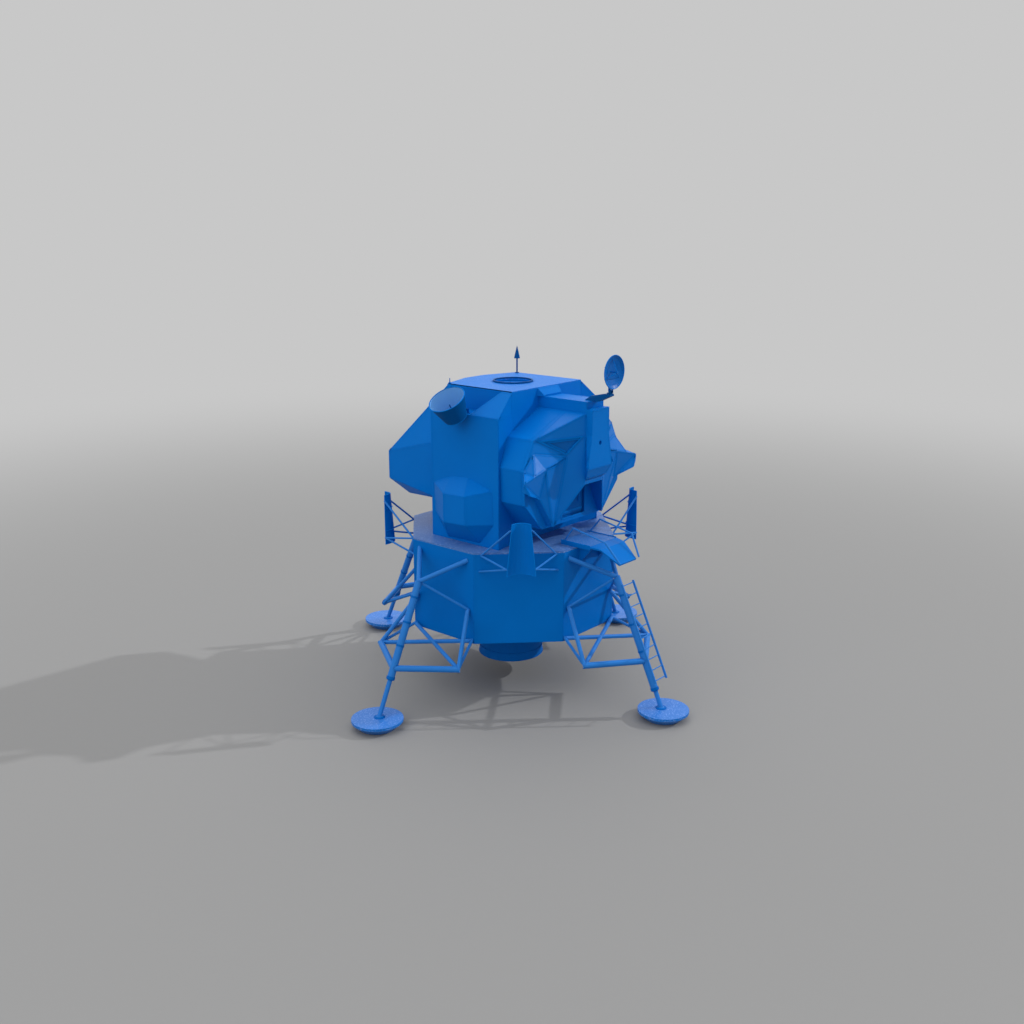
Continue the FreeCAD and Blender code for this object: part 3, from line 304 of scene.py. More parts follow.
# Stoved enamel: dark on the turntables, lighter and glossier on the reflector. The outside of the cup is
# darker still: painted shade.
SHADE_PAINT = PaintFinish("turntable enamel", Tone.DARK, roughness=0.4, wave_depth=0.0)
DISH_PAINT = PaintFinish("reflector enamel", Tone.SHADE, roughness=0.34, wave_depth=0.0, sheen=0.10)
CUP_SHADE_PAINT = PaintFinish("cup enamel in painted shade", Tone.CUP_SHADE, roughness=0.45, wave_depth=0.0)
# Pale enamel as painted reflection: the inside of the cup reads lighter than everything round it, standing
# for the gloss seen in its bowl.
LINING_REFLECTION_PAINT = PaintFinish("cup lining painted reflection", Tone.LINING_REFLECTION, roughness=0.4, wave_depth=0.0, sheen=0.2)
# Painted shadow: a dull, dark blue line that stands for the shade in the gap under the roof's edges.
GAP_SHADOW_PAINT = PaintFinish("painted gap shadow", Tone.GAP_SHADOW, roughness=0.7, wave_depth=0.0)
PANE = PaneFinish()


# -------- mesh building
def add_object(name: str, data: bpy.types.ID) -> bpy.types.Object:
    """Adds an object to the scene.

    Args:
        name: name of the object.
        data: its mesh, lamp or camera.

    Returns:
        The new object.
    """
    made = bpy.data.objects.new(name, data)
    bpy.context.scene.collection.objects.link(made)
    return made


def hand_over(piece: bpy.types.Object, body: str) -> None:
    """Makes a finished piece ride on a body.

    Args:
        piece: object of the piece.
        body: body that carries it.
    """
    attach(piece, body)
    LOG.info("piece %s: %d faces on %s", piece.name, len(piece.data.polygons), body)


class Shape:
    """Collects simple solids in one mesh and hands it over as a finished piece."""

    SINK: ClassVar[float] = 0.001
    ON_AXIS: ClassVar[float] = 1e-6
    SMOOTH_DEG: ClassVar[float] = 32.0
    BEVEL_DEG: ClassVar[float] = 40.0

    def __init__(self) -> None:
        """Starts an empty mesh."""
        self.mesh = bmesh.new()

    def prism(self, corners: Sequence[Point], rise: Point) -> None:
        """Adds a flat-ended solid.

        Args:
            corners: outline of one end, in order.
            rise: vector from that end to the other.
        """
        up = Vector(rise)
        low = [self.mesh.verts.new(Vector(c)) for c in corners]
        high = [self.mesh.verts.new(Vector(c) + up) for c in corners]
        count = len(corners)
        self.mesh.faces.new(low)
        self.mesh.faces.new(high)
        for n in range(count):
            self.mesh.faces.new((low[n], low[(n + 1) % count], high[(n + 1) % count], high[n]))

    def box(self, low: Point, high: Point) -> None:
        """Adds a box between its least and its greatest corner."""
        self.prism([
            (low[0], low[1], low[2]), (high[0], low[1], low[2]),
            (high[0], high[1], low[2]), (low[0], high[1], low[2]),
        ], (0.0, 0.0, high[2] - low[2]))

    def strip(self, start: Point, end: Point, outward: Point, width: float, rise: float) -> None:
        """Adds a flat batten on a surface.

        Args:
            start: one end of its centre line on the surface.
            end: other end of its centre line.
            outward: direction out of the surface.
            width: width across the batten.
            rise: thickness above the surface.
        """
        a, b, n = Vector(start), Vector(end), Vector(outward).normalized()
        side = n.cross((b - a).normalized()) * (width / 2.0)
        sink = n * self.SINK
        self.prism([a - side - sink, b - side - sink, b + side - sink, a + side - sink],
                   n * (rise + self.SINK))

    def lathe(self, profile: Sequence[Pair], centre: Point, axis: Point = UP, steps: int = 32) -> None:
        """Adds a turned solid.

        Args:
            profile: radius and height pairs along the axis, closed on the axis or as a ring.
            centre: where the axis starts.
            axis: direction of the axis.
            steps: flats round the axis.
        """
        turn = Vector(UP).rotation_difference(Vector(axis).normalized()).to_matrix().to_4x4()
        place = Matrix.Translation(Vector(centre)) @ turn
        rings = []
        for radius, height in profile:
            if radius < self.ON_AXIS:
                rings.append([self.mesh.verts.new(place @ Vector((0, 0, height)))])
                continue
            ring = []
            for angle in turns(steps):
                spot = Vector((radius * math.cos(angle), radius * math.sin(angle), height))
                ring.append(self.mesh.verts.new(place @ spot))
            rings.append(ring)
        pairs = list(zip(rings, rings[1:]))
        if len(rings[0]) > 1 or len(rings[-1]) > 1:
            pairs.append((rings[-1], rings[0]))
        for one, two in pairs:
            for n in range(steps):
                m = (n + 1) % steps
                if len(one) == 1:
                    self.mesh.faces.new((one[0], two[n], two[m]))
                elif len(two) == 1:
                    self.mesh.faces.new((one[n], one[m], two[0]))
                else:
                    self.mesh.faces.new((one[n], one[m], two[m], two[n]))

    def rod(self, start: Point, end: Point, radius: float, far_radius: Optional[float] = None,
            steps: int = 16) -> None:
        """Adds a round rod or cone.

        Args:
            start: middle of one end.
            end: middle of the other end.
            radius: radius at the start.
            far_radius: radius at the end, if it differs.
            steps: flats round the rod.
        """
        a, b = Vector(start), Vector(end)
        far = radius if far_radius is None else far_radius
        self.lathe([(0, 0), (radius, 0), (far, (b - a).length), (0, (b - a).length)], a, b - a, steps)

    def hoop(self, centre: Point, axis: Point, radius: float, wire: float, steps: int = 48,
             sides: int = 8) -> None:
        """Adds a round ring of round wire.

        Args:
            centre: middle of the ring.
            axis: direction through the ring.
            radius: radius to the middle of the wire.
            wire: radius of the wire.
            steps: flats round the ring.
            sides: flats round the wire.
        """
        profile = []
        for angle in turns(sides):
            profile.append((radius + wire * math.cos(angle), wire * math.sin(angle)))
        self.lathe(profile, centre, axis, steps)

    def bolt(self, spot: Point, outward: Point, radius: float, rise: float) -> None:
        """Adds a hexagon bolt head on its washer.

        Args:
            spot: where its axis meets the surface.
            outward: direction out of the surface.
            radius: radius of the head.
            rise: height of the head below its crown.
        """
        wide, seat = radius * 1.25, rise * 0.25
        self.lathe([(0, -self.SINK), (wide, -self.SINK), (wide, seat), (0, seat)], spot, outward, 16)
        low, crown, peak = rise * 0.2, radius * 0.8, rise * 1.12
        self.lathe([(0, low), (radius, low), (radius, rise), (crown, peak), (0, peak)], spot, outward, 6)

    def piece(self, name: str, body: str, finish: PaintFinish, slot: str, bevel: float = 0.0) -> None:
        """Turns the mesh into a finished piece that rides on a body.

        Args:
            name: name of the piece.
            body: body that carries it.
            finish: finish it gets.
            slot: record's material slot it belongs to; not used.
            bevel: width of the broken edges in metres, or 0.
        """
        bmesh.ops.recalc_face_normals(self.mesh, faces=self.mesh.faces[:])
        data = bpy.data.meshes.new(name)
        self.mesh.to_mesh(data)
        self.mesh.free()
        piece = add_object(name, data)
        data.materials.append(finish.material())
        data.shade_smooth()
        data.set_sharp_from_angle(angle=math.radians(self.SMOOTH_DEG))
        if bevel > 0.0:
            edge = piece.modifiers.new("broken edge", "BEVEL")
            edge.width = bevel
            edge.segments = 2
            edge.limit_method = "ANGLE"
            edge.angle_limit = math.radians(self.BEVEL_DEG)
        hand_over(piece, body)


def turns(count: int, shift: float = 0.0) -> list[float]:
    """Returns evenly spaced angles round a circle, shifted by a share of a step."""
    return [math.tau * (n + shift) / count for n in range(count)]


def round_z(degrees: float) -> Matrix:
    """Returns the turn about the vehicle's upright axis."""
    return Matrix.Rotation(math.radians(degrees), 3, "Z")


@dataclass
class Row:
    """A straight row on a surface."""

    start: Vector
    end: Vector
    outward: Vector


@dataclass
class Studs:
    """Button-head rivets or screws set along rows by Geometry Nodes, with sizes in metres."""

    finish: PaintFinish
    pitch: float = 0.12
    radius: float = 0.008
    rise: float = 0.004

    TREE: ClassVar[str] = "rivet rows"
    SIDES: ClassVar[int] = 8
    CROWN: ClassVar[float] = 0.6

    def tree(self) -> bpy.types.NodeTree:
        """Builds the tree, or finds it if it is already there.

        Returns:
            The node tree.
        """
        found = bpy.data.node_groups.get(self.TREE)
        if found:
            return found
        group = bpy.data.node_groups.new(self.TREE, "GeometryNodeTree")
        face = group.interface
        face.new_socket("Geometry", in_out="INPUT", socket_type="NodeSocketGeometry")
        for label in ("Pitch", "Head radius", "Head height"):
            face.new_socket(label, in_out="INPUT", socket_type="NodeSocketFloat")
        face.new_socket("Finish", in_out="INPUT", socket_type="NodeSocketMaterial")
        face.new_socket("Geometry", in_out="OUTPUT", socket_type="NodeSocketGeometry")
        enter = add_node(group, "NodeGroupInput").outputs
        curve = add_node(group, "GeometryNodeMeshToCurve", {"Mesh": enter["Geometry"]})
        spaced = add_node(group, "GeometryNodeResampleCurve", {
            "Curve": curve.outputs["Curve"], "Length": enter["Pitch"],
        }, mode="LENGTH").outputs
        points = add_node(group, "GeometryNodeCurveToPoints", {"Curve": spaced["Curve"]}, mode="EVALUATED")
        outward = add_node(group, "GeometryNodeInputNamedAttribute", {"Name": "outward"},
                           data_type="FLOAT_VECTOR").outputs
        aim = add_node(group, "FunctionNodeAlignRotationToVector", {
            "Vector": outward["Attribute"],
        }, axis="Z")
        radius = enter["Head radius"]
        small = add_node(group, "ShaderNodeMath", {0: radius, 1: self.CROWN}, operation="MULTIPLY")
        head = add_node(group, "GeometryNodeMeshCone", {
            "Vertices": self.SIDES, "Radius Top": small.outputs[0],
            "Radius Bottom": radius, "Depth": enter["Head height"],
        })
        sown = add_node(group, "GeometryNodeInstanceOnPoints", {
            "Points": points.outputs["Points"], "Instance": head.outputs["Mesh"],
            "Rotation": aim.outputs["Rotation"],
        })
        real = add_node(group, "GeometryNodeRealizeInstances", {"Geometry": sown.outputs["Instances"]})
        painted = add_node(group, "GeometryNodeSetMaterial", {
            "Geometry": real.outputs["Geometry"], "Material": enter["Finish"],
        })
        add_node(group, "NodeGroupOutput", {"Geometry": painted.outputs["Geometry"]})
        return group

    def along(self, name: str, rows: Sequence[Row], body: str) -> None:
        """Sets heads along rows and hands them over as one plain piece.

        Args:
            name: name of the piece.
            rows: rows that carry the heads.
            body: body that carries the piece.
        """
        data = bpy.data.meshes.new(name + " rows")
        spots, edges, ways = [], [], []
        for row in rows:
            edges.append((len(spots), len(spots) + 1))
            spots += [row.start, row.end]
            ways += [row.outward, row.outward]
        data.from_pydata(spots, edges, [])
        mark = data.attributes.new("outward", "FLOAT_VECTOR", "POINT")
        mark.data.foreach_set("vector", [c for way in ways for c in way])
        seed = add_object(name + " rows", data)
        change = seed.modifiers.new("rivets", "NODES")
        change.node_group = self.tree()
        values = {
            "Pitch": self.pitch, "Head radius": self.radius, "Head height": self.rise,
            "Finish": self.finish.material(),
        }
        for item in change.node_group.interface.items_tree:
            if item.item_type == "SOCKET" and item.in_out == "INPUT" and item.name in values:
                change[item.identifier] = values[item.name]
        shown = seed.evaluated_get(bpy.context.evaluated_depsgraph_get())
        plain = bpy.data.meshes.new_from_object(shown)
        bpy.data.objects.remove(seed)
        plain.name = name
        hand_over(add_object(name, plain), body)


@dataclass
class Surfaces:
    """Reads panel edges off the carried-over nodes, with sizes in metres and angles in degrees."""

    shortest: float = 0.22
    sharp: float = 12.0
    flat: float = 1.0
    weld: float = 0.0002
    step_off: float = 0.02
    near: float = 0.10
    far: float = 40.0
    looks: int = 8
    least_free: int = 3
    lean: float = 0.8
    end_share: float = 1.6
    keep_share: float = 0.4

    def __post_init__(self) -> None:
        """Gathers every node into one tree for rays."""
        spots: list[Vector] = []
        faces: list[tuple[int, ...]] = []
        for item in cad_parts.values():
            start = len(spots)
            spots += [v.co.copy() for v in item.data.vertices]
            faces += [tuple(start + i for i in p.vertices) for p in item.data.polygons]
        self.rays = BVHTree.FromPolygons(spots, faces)

    def open_air(self, spot: Vector, outward: Vector) -> bool:
        """Tells whether a spot on a surface sees out of the vehicle.

        Args:
            spot: spot on the surface.
            outward: direction out of the surface.

        Returns:
            True if enough of the ways out are free.
        """
        side = outward.orthogonal().normalized()
        other = outward.cross(side)
        start = spot + outward * self.step_off
        if self.rays.ray_cast(start, outward, self.near)[0] is not None:
            return False
        free = 0
        for angle in turns(self.looks):
            way = outward + (side * math.cos(angle) + other * math.sin(angle)) * self.lean
            if self.rays.ray_cast(start, way.normalized(), self.far)[0] is None:
                free += 1
        return free >= self.least_free

    def rows(self, node: str, inset: float) -> list[Row]:
        """Finds rows just inside each sharp outer edge of a node.

        Args:
            node: node that is read.
            inset: distance from the edge to the row in metres.

        Returns:
            Rows on both faces of each edge.
        """
        copy = bmesh.new()
        copy.from_mesh(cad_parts[node].data)
        bmesh.ops.remove_doubles(copy, verts=copy.verts[:], dist=self.weld)
        bmesh.ops.dissolve_limit(copy, angle_limit=math.radians(self.flat), verts=copy.verts[:],
                                 edges=copy.edges[:])
        found = []
        for edge in copy.edges:
            if len(edge.link_faces) != 2 or edge.calc_length() < self.shortest:
                continue
            if math.degrees(edge.calc_face_angle(0.0)) < self.sharp:
                continue
            a, b = (v.co.copy() for v in edge.verts)
            way = (b - a).normalized()
            for face in edge.link_faces:
                outward = face.normal.copy()
                inward = outward.cross(way)
                if inward.dot(face.calc_center_median() - a) < 0.0:
                    inward = -inward
                start = a + way * inset * self.end_share + inward * inset
                end = b - way * inset * self.end_share + inward * inset
                long_enough = (end - start).dot(way) > self.shortest * self.keep_share
                if long_enough and self.open_air((start + end) / 2.0, outward):
                    found.append(Row(start, end, outward))
        copy.free()
        return found


# -------- painting the carried-over nodes
NODE_FINISH: dict[str, Finish] = {
    "bay_": HULL_PAINT, "corner_bays": HULL_PAINT, "porch": HULL_PAINT,
    "descent_deck": DECK_PAINT, "roof_panel": ROOF_PAINT, "footpads": PAD_PAINT,
    "primary_strut_": TUBE_PAINT, "secondary_struts_": TUBE_PAINT, "outriggers": TUBE_PAINT,
    "leg_trusses": TUBE_PAINT, "deflector_struts": TUBE_PAINT, "porch_rails": TUBE_PAINT,
    "ladder": TUBE_PAINT, "engine_": BELL_PAINT, "gimbal_ring": FITTING_PAINT,
    # The forward hatch takes the darker fitting paint as painted shade of the doorway. The hatch lid takes
    # the roof's lighter paint: partly its own colour, partly painted light that lifts the shade in its
    # recess.
    "docking_ring": SHADE_PAINT, "docking_hatch": ROOF_PAINT, "forward_hatch": FITTING_PAINT,
    "window_panes": PANE, "cabin_front": NOSE_PAINT, "eva_antenna": SHADE_PAINT,
    "radar_beam": SKIN_PAINT, "radar_base": SHADE_PAINT, "radar_yoke": SHADE_PAINT,
    # The antenna cup's dark paint is painted shade.
    "radar_dish": DISH_PAINT, "sband_": FITTING_PAINT, "sband_dish": CUP_SHADE_PAINT,
}


def paint_nodes() -> None:
    """Gives every carried-over node the finish of the longest key that fits, or the skin's."""
    for name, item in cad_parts.items():
        keys = sorted((k for k in NODE_FINISH if name.startswith(k)), key=len)
        finish = NODE_FINISH[keys[-1]] if keys else SKIN_PAINT
        for slot in item.material_slots:
            slot.material = finish.material()
        LOG.info("node %s: %s", name, finish.name)


# -------- sub-assemblies
@dataclass
class PanelSeams:
    """Battens and rivets along the edges of the vehicle's flat panels."""

    surfaces: Surfaces
    batten_width: float = 0.030
    batten_rise: float = 0.0025
    inset: float = 0.024
    rivet_lift: float = 0.003
    skins: tuple[str, ...] = (
        "cabin_front", "side_bay_stbd", "side_bay_port", "midsection", "aft_bay", "nose_column",
        "radar_beam", "tank_stbd", "tank_port", "cabin_shell",
    )
    hulls: tuple[str, ...] = ("bay_front", "bay_aft", "bay_stbd", "bay_port", "corner_bays")

    def build(self) -> None:
        """Adds the seams of both stages."""
        for label, group, slot, finish in (
            ("ascent", self.skins, "skin", SKIN_PAINT), ("descent", self.hulls, "hull", HULL_PAINT),
        ):
            rows = [row for node in group for row in self.surfaces.rows(node, self.inset)]
            battens = Shape()
            lifted = []
            for row in rows:
                battens.strip(row.start, row.end, row.outward, self.batten_width, self.batten_rise)
                lift = row.outward * self.rivet_lift
                lifted.append(Row(row.start + lift, row.end + lift, row.outward))
            battens.piece(label + "_seam_battens", ROOT, finish, slot)
            Studs(EDGE_PAINT).along(label + "_seam_rivets", lifted, ROOT)


@dataclass
class Windows:
    """Frames round the two triangular windows, from the starboard one's corners."""

    corners: tuple[Triple, ...] = (
        (-1.340, -1.750, 5.760), (-0.290, -2.277, 5.800), (-0.620, -2.045, 5.370),
    )
    inset: float = 0.052
    width: float = 0.034
    rise: float = 0.012
    sink: float = 0.002
    screw_lift: float = 0.001
    screw_span: Pair = (0.06, 0.94)

    def build(self) -> None:
        """Adds one frame each side with its screws."""
        frames = Shape()
        rows: list[Row] = []
        for sign in (1.0, -1.0):
            tri = [Vector((sign * x, y, z)) for x, y, z in self.corners]
            outward = (tri[1] - tri[0]).cross(tri[2] - tri[0]).normalized()
            if outward.y > 0.0:
                outward = -outward
            outer, inner = self.moved(tri, self.inset - self.width), self.moved(tri, self.inset)
            sink = outward * self.sink
            lift = outward * (self.rise + self.screw_lift)
            for n in range(3):
                m = (n + 1) % 3
                frames.prism([outer[n] - sink, outer[m] - sink, inner[m] - sink, inner[n] - sink],
                             outward * (self.rise + self.sink))
                a = (outer[n] + inner[n]) / 2.0 + lift
                b = (outer[m] + inner[m]) / 2.0 + lift
                near, far = self.screw_span
                rows.append(Row(a.lerp(b, near), a.lerp(b, far), outward))
        frames.piece("window_frames", ROOT, EDGE_PAINT, "skin")
        screws = Studs(FITTING_PAINT, pitch=0.07, radius=0.006, rise=0.003)
        screws.along("window_frame_screws", rows, ROOT)

    @staticmethod
    def moved(tri: Sequence[Vector], inset: float) -> list[Vector]:
        """Moves a triangle's corners in from its edges.

        Args:
            tri: the corners.
            inset: distance from each edge.

        Returns:
            The new corners.
        """
        made = []
        for n in range(3):
            one = (tri[n - 1] - tri[n]).normalized()
            two = (tri[(n + 1) % 3] - tri[n]).normalized()
            half = one.angle(two) / 2.0
            made.append(tri[n] + (one + two).normalized() * (inset / math.sin(half)))
        return made


@dataclass
class LegFittings:
    """Sleeve ends, tube collars, pad sockets and pad rims of the four legs.

    Top and foot are reach and height. The front leg's sleeve runs lower than the others.
    """

    legs: tuple[tuple[str, float], ...] = (
        ("front", -90.0), ("stbd", 180.0), ("aft", 90.0), ("port", 0.0),
    )
    top: Pair = (2.920, 2.810)
    foot: Pair = (4.130, 0.212)
    tube: float = 0.078
    piston: float = 0.049
    front_sleeve_low: float = 0.560
    sleeve_low: float = 0.930
    sleeve_span: Triple = (-0.05, 0.012, 0.03)
    wall: float = 0.012
    bite: float = 0.004
    collars: Triple = (0.16, 0.42, 0.66)
    collar_wall: float = 0.008
    collar_half: float = 0.02
    socket: tuple[Pair, ...] = (
        (0.070, 0.0), (0.118, 0.0), (0.118, 0.008), (0.084, 0.020), (0.070, 0.020),
    )
    bolts: int = 6
    bolt_circle: float = 0.103
    bolt_lift: float = 0.009
    bolt_head: Pair = (0.009, 0.008)
    pad_reach: float = 4.190
    pad_top: float = 0.197
    pad_radius: float = 0.535
    rim_wire: float = 0.012

    def build(self) -> None:
        """Adds the collars and the pad's rim of each leg."""
        for name, angle in self.legs:
            turn = round_z(angle)
            self.collar_piece(name, turn)
            rim = Shape()
            centre = turn @ Vector((self.pad_reach, 0.0, 0.0))
            rim.hoop(centre + Vector((0, 0, self.pad_top - self.rim_wire)), UP,
                     self.pad_radius - self.rim_wire, self.rim_wire, 72)
            rim.piece("pad_rim_" + name, ROOT, EDGE_PAINT, "pad")

    def collar_piece(self, name: str, turn: Matrix) -> None:
        """Adds the collars and the bolted pad socket of one leg.

        Args:
            name: side that the leg is on.
            turn: turn from the port side to there.
        """
        top = turn @ Vector((self.top[0], 0.0, self.top[1]))
        foot = turn @ Vector((self.foot[0], 0.0, self.foot[1]))
        way = (foot - top).normalized()
        shape = Shape()
        low = self.front_sleeve_low if name == "front" else self.sleeve_low
        sleeve = top.lerp(foot, (self.top[1] - low) / (self.top[1] - self.foot[1]))
        hole, wide = self.piston - self.bite, self.tube + self.wall
        start, shoulder, end = self.sleeve_span
        shape.lathe([(hole, start), (wide, start), (wide, shoulder), (self.piston + self.wall, end),
                     (hole, end)], sleeve, way)
        inner, outer, half = self.tube - self.bite, self.tube + self.collar_wall, self.collar_half
        for level in self.collars:
            shape.lathe([(inner, -half), (outer, -half), (outer, half), (inner, half)],
                        top.lerp(sleeve, level), way)
        socket = turn @ Vector((self.foot[0], 0.0, self.pad_top))
        shape.lathe(self.socket, socket)
        for around in turns(self.bolts):
            out = Vector((math.cos(around), math.sin(around), 0.0)) * self.bolt_circle
            shape.bolt(socket + out + Vector((0, 0, self.bolt_lift)), UP, *self.bolt_head)
        shape.piece("leg_collars_" + name, ROOT, FITTING_PAINT, "strut")


@dataclass
class Deflectors:
    """Rolled edges and stiffeners on the four thruster plume deflectors."""

    bearings: tuple[float, ...] = (-135.0, -45.0, 45.0, 135.0)
    reach: float = 2.800
    low: float = 3.100
    high: float = 4.190
    half_low: float = 0.290
    half_high: float = 0.185
    dip: float = 0.190
    bow: float = 0.86
    strips: int = 8
    sheet: float = 0.016
    edge_inset: float = 0.004
    edge_radius: float = 0.0105
    rib_inset: float = 0.30
    rib_stand: float = 0.008
    rib_radius: float = 0.012

    def across(self, level: float, back: float) -> list[Vector]:
        """Finds points across the trough of a deflector that faces the port side.

        Args:
            level: height of the points.
            back: distance behind the outer face.

        Returns:
            The points.
        """
        share = (level - self.low) / (self.high - self.low)
        scale = (self.half_low + (self.half_high - self.half_low) * share) / self.half_low
        made = []
        for n in range(self.strips + 1):
            turn = math.pi * (n / self.strips - 0.5)
            side = self.half_low * math.sin(turn * self.bow) / math.sin(math.pi * self.bow / 2.0)
            dip = self.dip * (1.0 - (side / self.half_low) ** 2)
            made.append(Vector((self.reach - back * scale - dip * scale, side * scale, level)))
        return made

    def build(self) -> None:
        """Adds edge beads and back stiffeners."""
        shape = Shape()
        middle, behind = self.sheet / 2.0, self.sheet + self.rib_stand
        beads = (
            (self.low + self.edge_inset, middle, self.edge_radius, 8),
            (self.high - self.edge_inset, middle, self.edge_radius, 8),
            (self.low + self.rib_inset, behind, self.rib_radius, 6),
            (self.high - self.rib_inset, behind, self.rib_radius, 6),
        )
        for angle in self.bearings:
            turn = round_z(angle)
            for level, back, radius, steps in beads:
                line = [turn @ p for p in self.across(level, back)]
                for a, b in zip(line, line[1:]):
                    shape.rod(a, b, radius, steps=steps)
            foot, head = self.across(self.low, middle), self.across(self.high, middle)
            for n in (0, self.strips):
                shape.rod(turn @ foot[n], turn @ head[n], self.edge_radius, steps=8)
        shape.piece("deflector_edges", ROOT, EDGE_PAINT, "deflector")


@dataclass
class Porch:
    """Treads, side lips and grit mat on the porch."""

    half: float = 0.470
    front: float = -2.560
    back: float = -1.800
    top: float = 3.500
    sink: float = 0.001
    treads: int = 14
    tread_ends: float = 0.05
    tread_side: float = 0.07
    tread_half: float = 0.006
    tread_rise: float = 0.005
    lip_half: float = 0.008
    lip_rise: float = 0.020
    mat_side: float = 0.020
    mat_ends: float = 0.010
    mat_rise: float = 0.002
    bevel: float = 0.0015

    def build(self) -> None:
        """Adds the treads, the lips and the mat."""
        shape = Shape()
        floor = self.top - self.sink
        wide, high = self.half - self.tread_side, self.top + self.tread_rise
        span = self.back - self.front - 2.0 * self.tread_ends
        for n in range(self.treads):
            y = self.front + self.tread_ends + span * n / (self.treads - 1)
            shape.box((-wide, y - self.tread_half, floor), (wide, y + self.tread_half, high))
        for sign in (1.0, -1.0):
            x = sign * (self.half - self.lip_half)
            shape.box((x - self.lip_half, self.front, floor),
                      (x + self.lip_half, self.back, self.top + self.lip_rise))
        shape.piece("porch_treads", ROOT, EDGE_PAINT, "deck", self.bevel)
        mat = Shape()
        wide = self.half - self.mat_side
        mat.box((-wide, self.front + self.mat_ends, floor),
                (wide, self.back - self.mat_ends, self.top + self.mat_rise))
        mat.piece("porch_mat", ROOT, DECK_PAINT, "deck")


@dataclass
class DockingPort:
    """Bolts of the docking ring, and the stiffener, boss and handle of its hatch."""

    centre: Pair = (0.0, -0.060)
    radius: float = 0.406
    bolts: int = 24
    bolt_gap: float = 0.049
    bolt_level: float = 6.656
    bolt_head: Pair = (0.008, 0.007)
    stiffener: Triple = (6.600, 0.300, 0.006)
    boss_level: float = 6.598
    boss: tuple[Pair, ...] = ((0, 0), (0.070, 0), (0.060, 0.016), (0, 0.020))
    grip_half: float = 0.11
    grip_back: float = 0.16
    grip_level: float = 6.618
    grip_radius: float = 0.011
    post_levels: Pair = (6.597, 6.622)
    post_radius: float = 0.012

    def build(self) -> None:
        """Adds the ring's bolts and the hatch's furniture."""
        x, y = self.centre
        ring = Shape()
        circle = self.radius + self.bolt_gap
        for angle in turns(self.bolts):
            spot = (x + circle * math.cos(angle), y + circle * math.sin(angle), self.bolt_level)
            ring.bolt(spot, UP, *self.bolt_head)
        ring.piece("docking_ring_bolts", ROOT, ROOF_PAINT, "hatch")
        lid = Shape()
        level, radius, wire = self.stiffener
        lid.hoop((x, y, level), UP, radius, wire, 64)
        lid.lathe(self.boss, (x, y, self.boss_level))
        back, half = y + self.grip_back, self.grip_half
        lid.rod((x - half, back, self.grip_level), (x + half, back, self.grip_level), self.grip_radius)
        low, high = self.post_levels
        for side in (x + half, x - half):
            lid.rod((side, back, low), (side, back, high), self.post_radius)
        lid.piece("docking_hatch_handle", "docking_hatch", EDGE_PAINT, "hatch")


@dataclass
class FrontHatch:
    """Coaming of the doorway, and the porthole, handle, valve and bars of the forward hatch."""

    half: float = 0.400
    low: float = 3.935
    tall: float = 0.780
    plane: float = -1.7500
    coaming: Triple = (0.0005, 0.034, 0.010)
    coaming_bevel: float = 0.002
    face: float = -1.714
    porthole: tuple[Pair, ...] = ((0.070, 0.0), (0.095, 0.0), (0.095, 0.010), (0.070, 0.012))
    porthole_up: float = 0.20
    side: float = 0.20
    grip_half: float = 0.09
    grip_stand: float = 0.030
    grip_radius: float = 0.011
    post_ends: Pair = (0.002, -0.034)
    post_radius: float = 0.012
    valve: tuple[Pair, ...] = ((0, 0), (0.045, 0), (0.040, 0.014), (0, 0.016))
    valve_up: float = 0.17
    bar_inset: float = 0.12
    bar_half: Pair = (0.34, 0.022)
    bar_depth: Pair = (-0.006, 0.001)
    door_bevel: float = 0.0015

    def build(self) -> None:
        """Adds the coaming on the bulkhead and the furniture on the door."""
        high = self.low + self.tall
        corners = ((-self.half, self.low), (self.half, self.low), (self.half, high), (-self.half, high))
        stand, width, rise = self.coaming
        y = self.plane + stand
        coaming = Shape()
        for a, b in zip(corners, corners[1:] + corners[:1]):
            coaming.strip((a[0], y, a[1]), (b[0], y, b[1]), AHEAD, width, rise)
        coaming.piece("hatch_coaming", ROOT, EDGE_PAINT, "skin", self.coaming_bevel)
        door = Shape()
        middle = self.low + self.tall / 2.0
        door.lathe(self.porthole, (0.0, self.face, middle + self.porthole_up), AHEAD, 40)
        grip = self.face - self.grip_stand
        door.rod((self.side, grip, middle - self.grip_half), (self.side, grip, middle + self.grip_half),
                 self.grip_radius)
        near, far = (self.face + end for end in self.post_ends)
        for sign in (1.0, -1.0):
            level = middle + sign * self.grip_half
            door.rod((self.side, near, level), (self.side, far, level), self.post_radius)
        door.lathe(self.valve, (self.side, self.face, middle + self.valve_up), AHEAD, 24)
        wide, tall = self.bar_half
        front, back = (self.face + depth for depth in self.bar_depth)
        for z in (self.low + self.bar_inset, high - self.bar_inset):
            door.box((-wide, front, z - tall), (wide, back, z + tall))
        door.piece("forward_hatch_handle", "forward_hatch", EDGE_PAINT, "hatch", self.door_bevel)


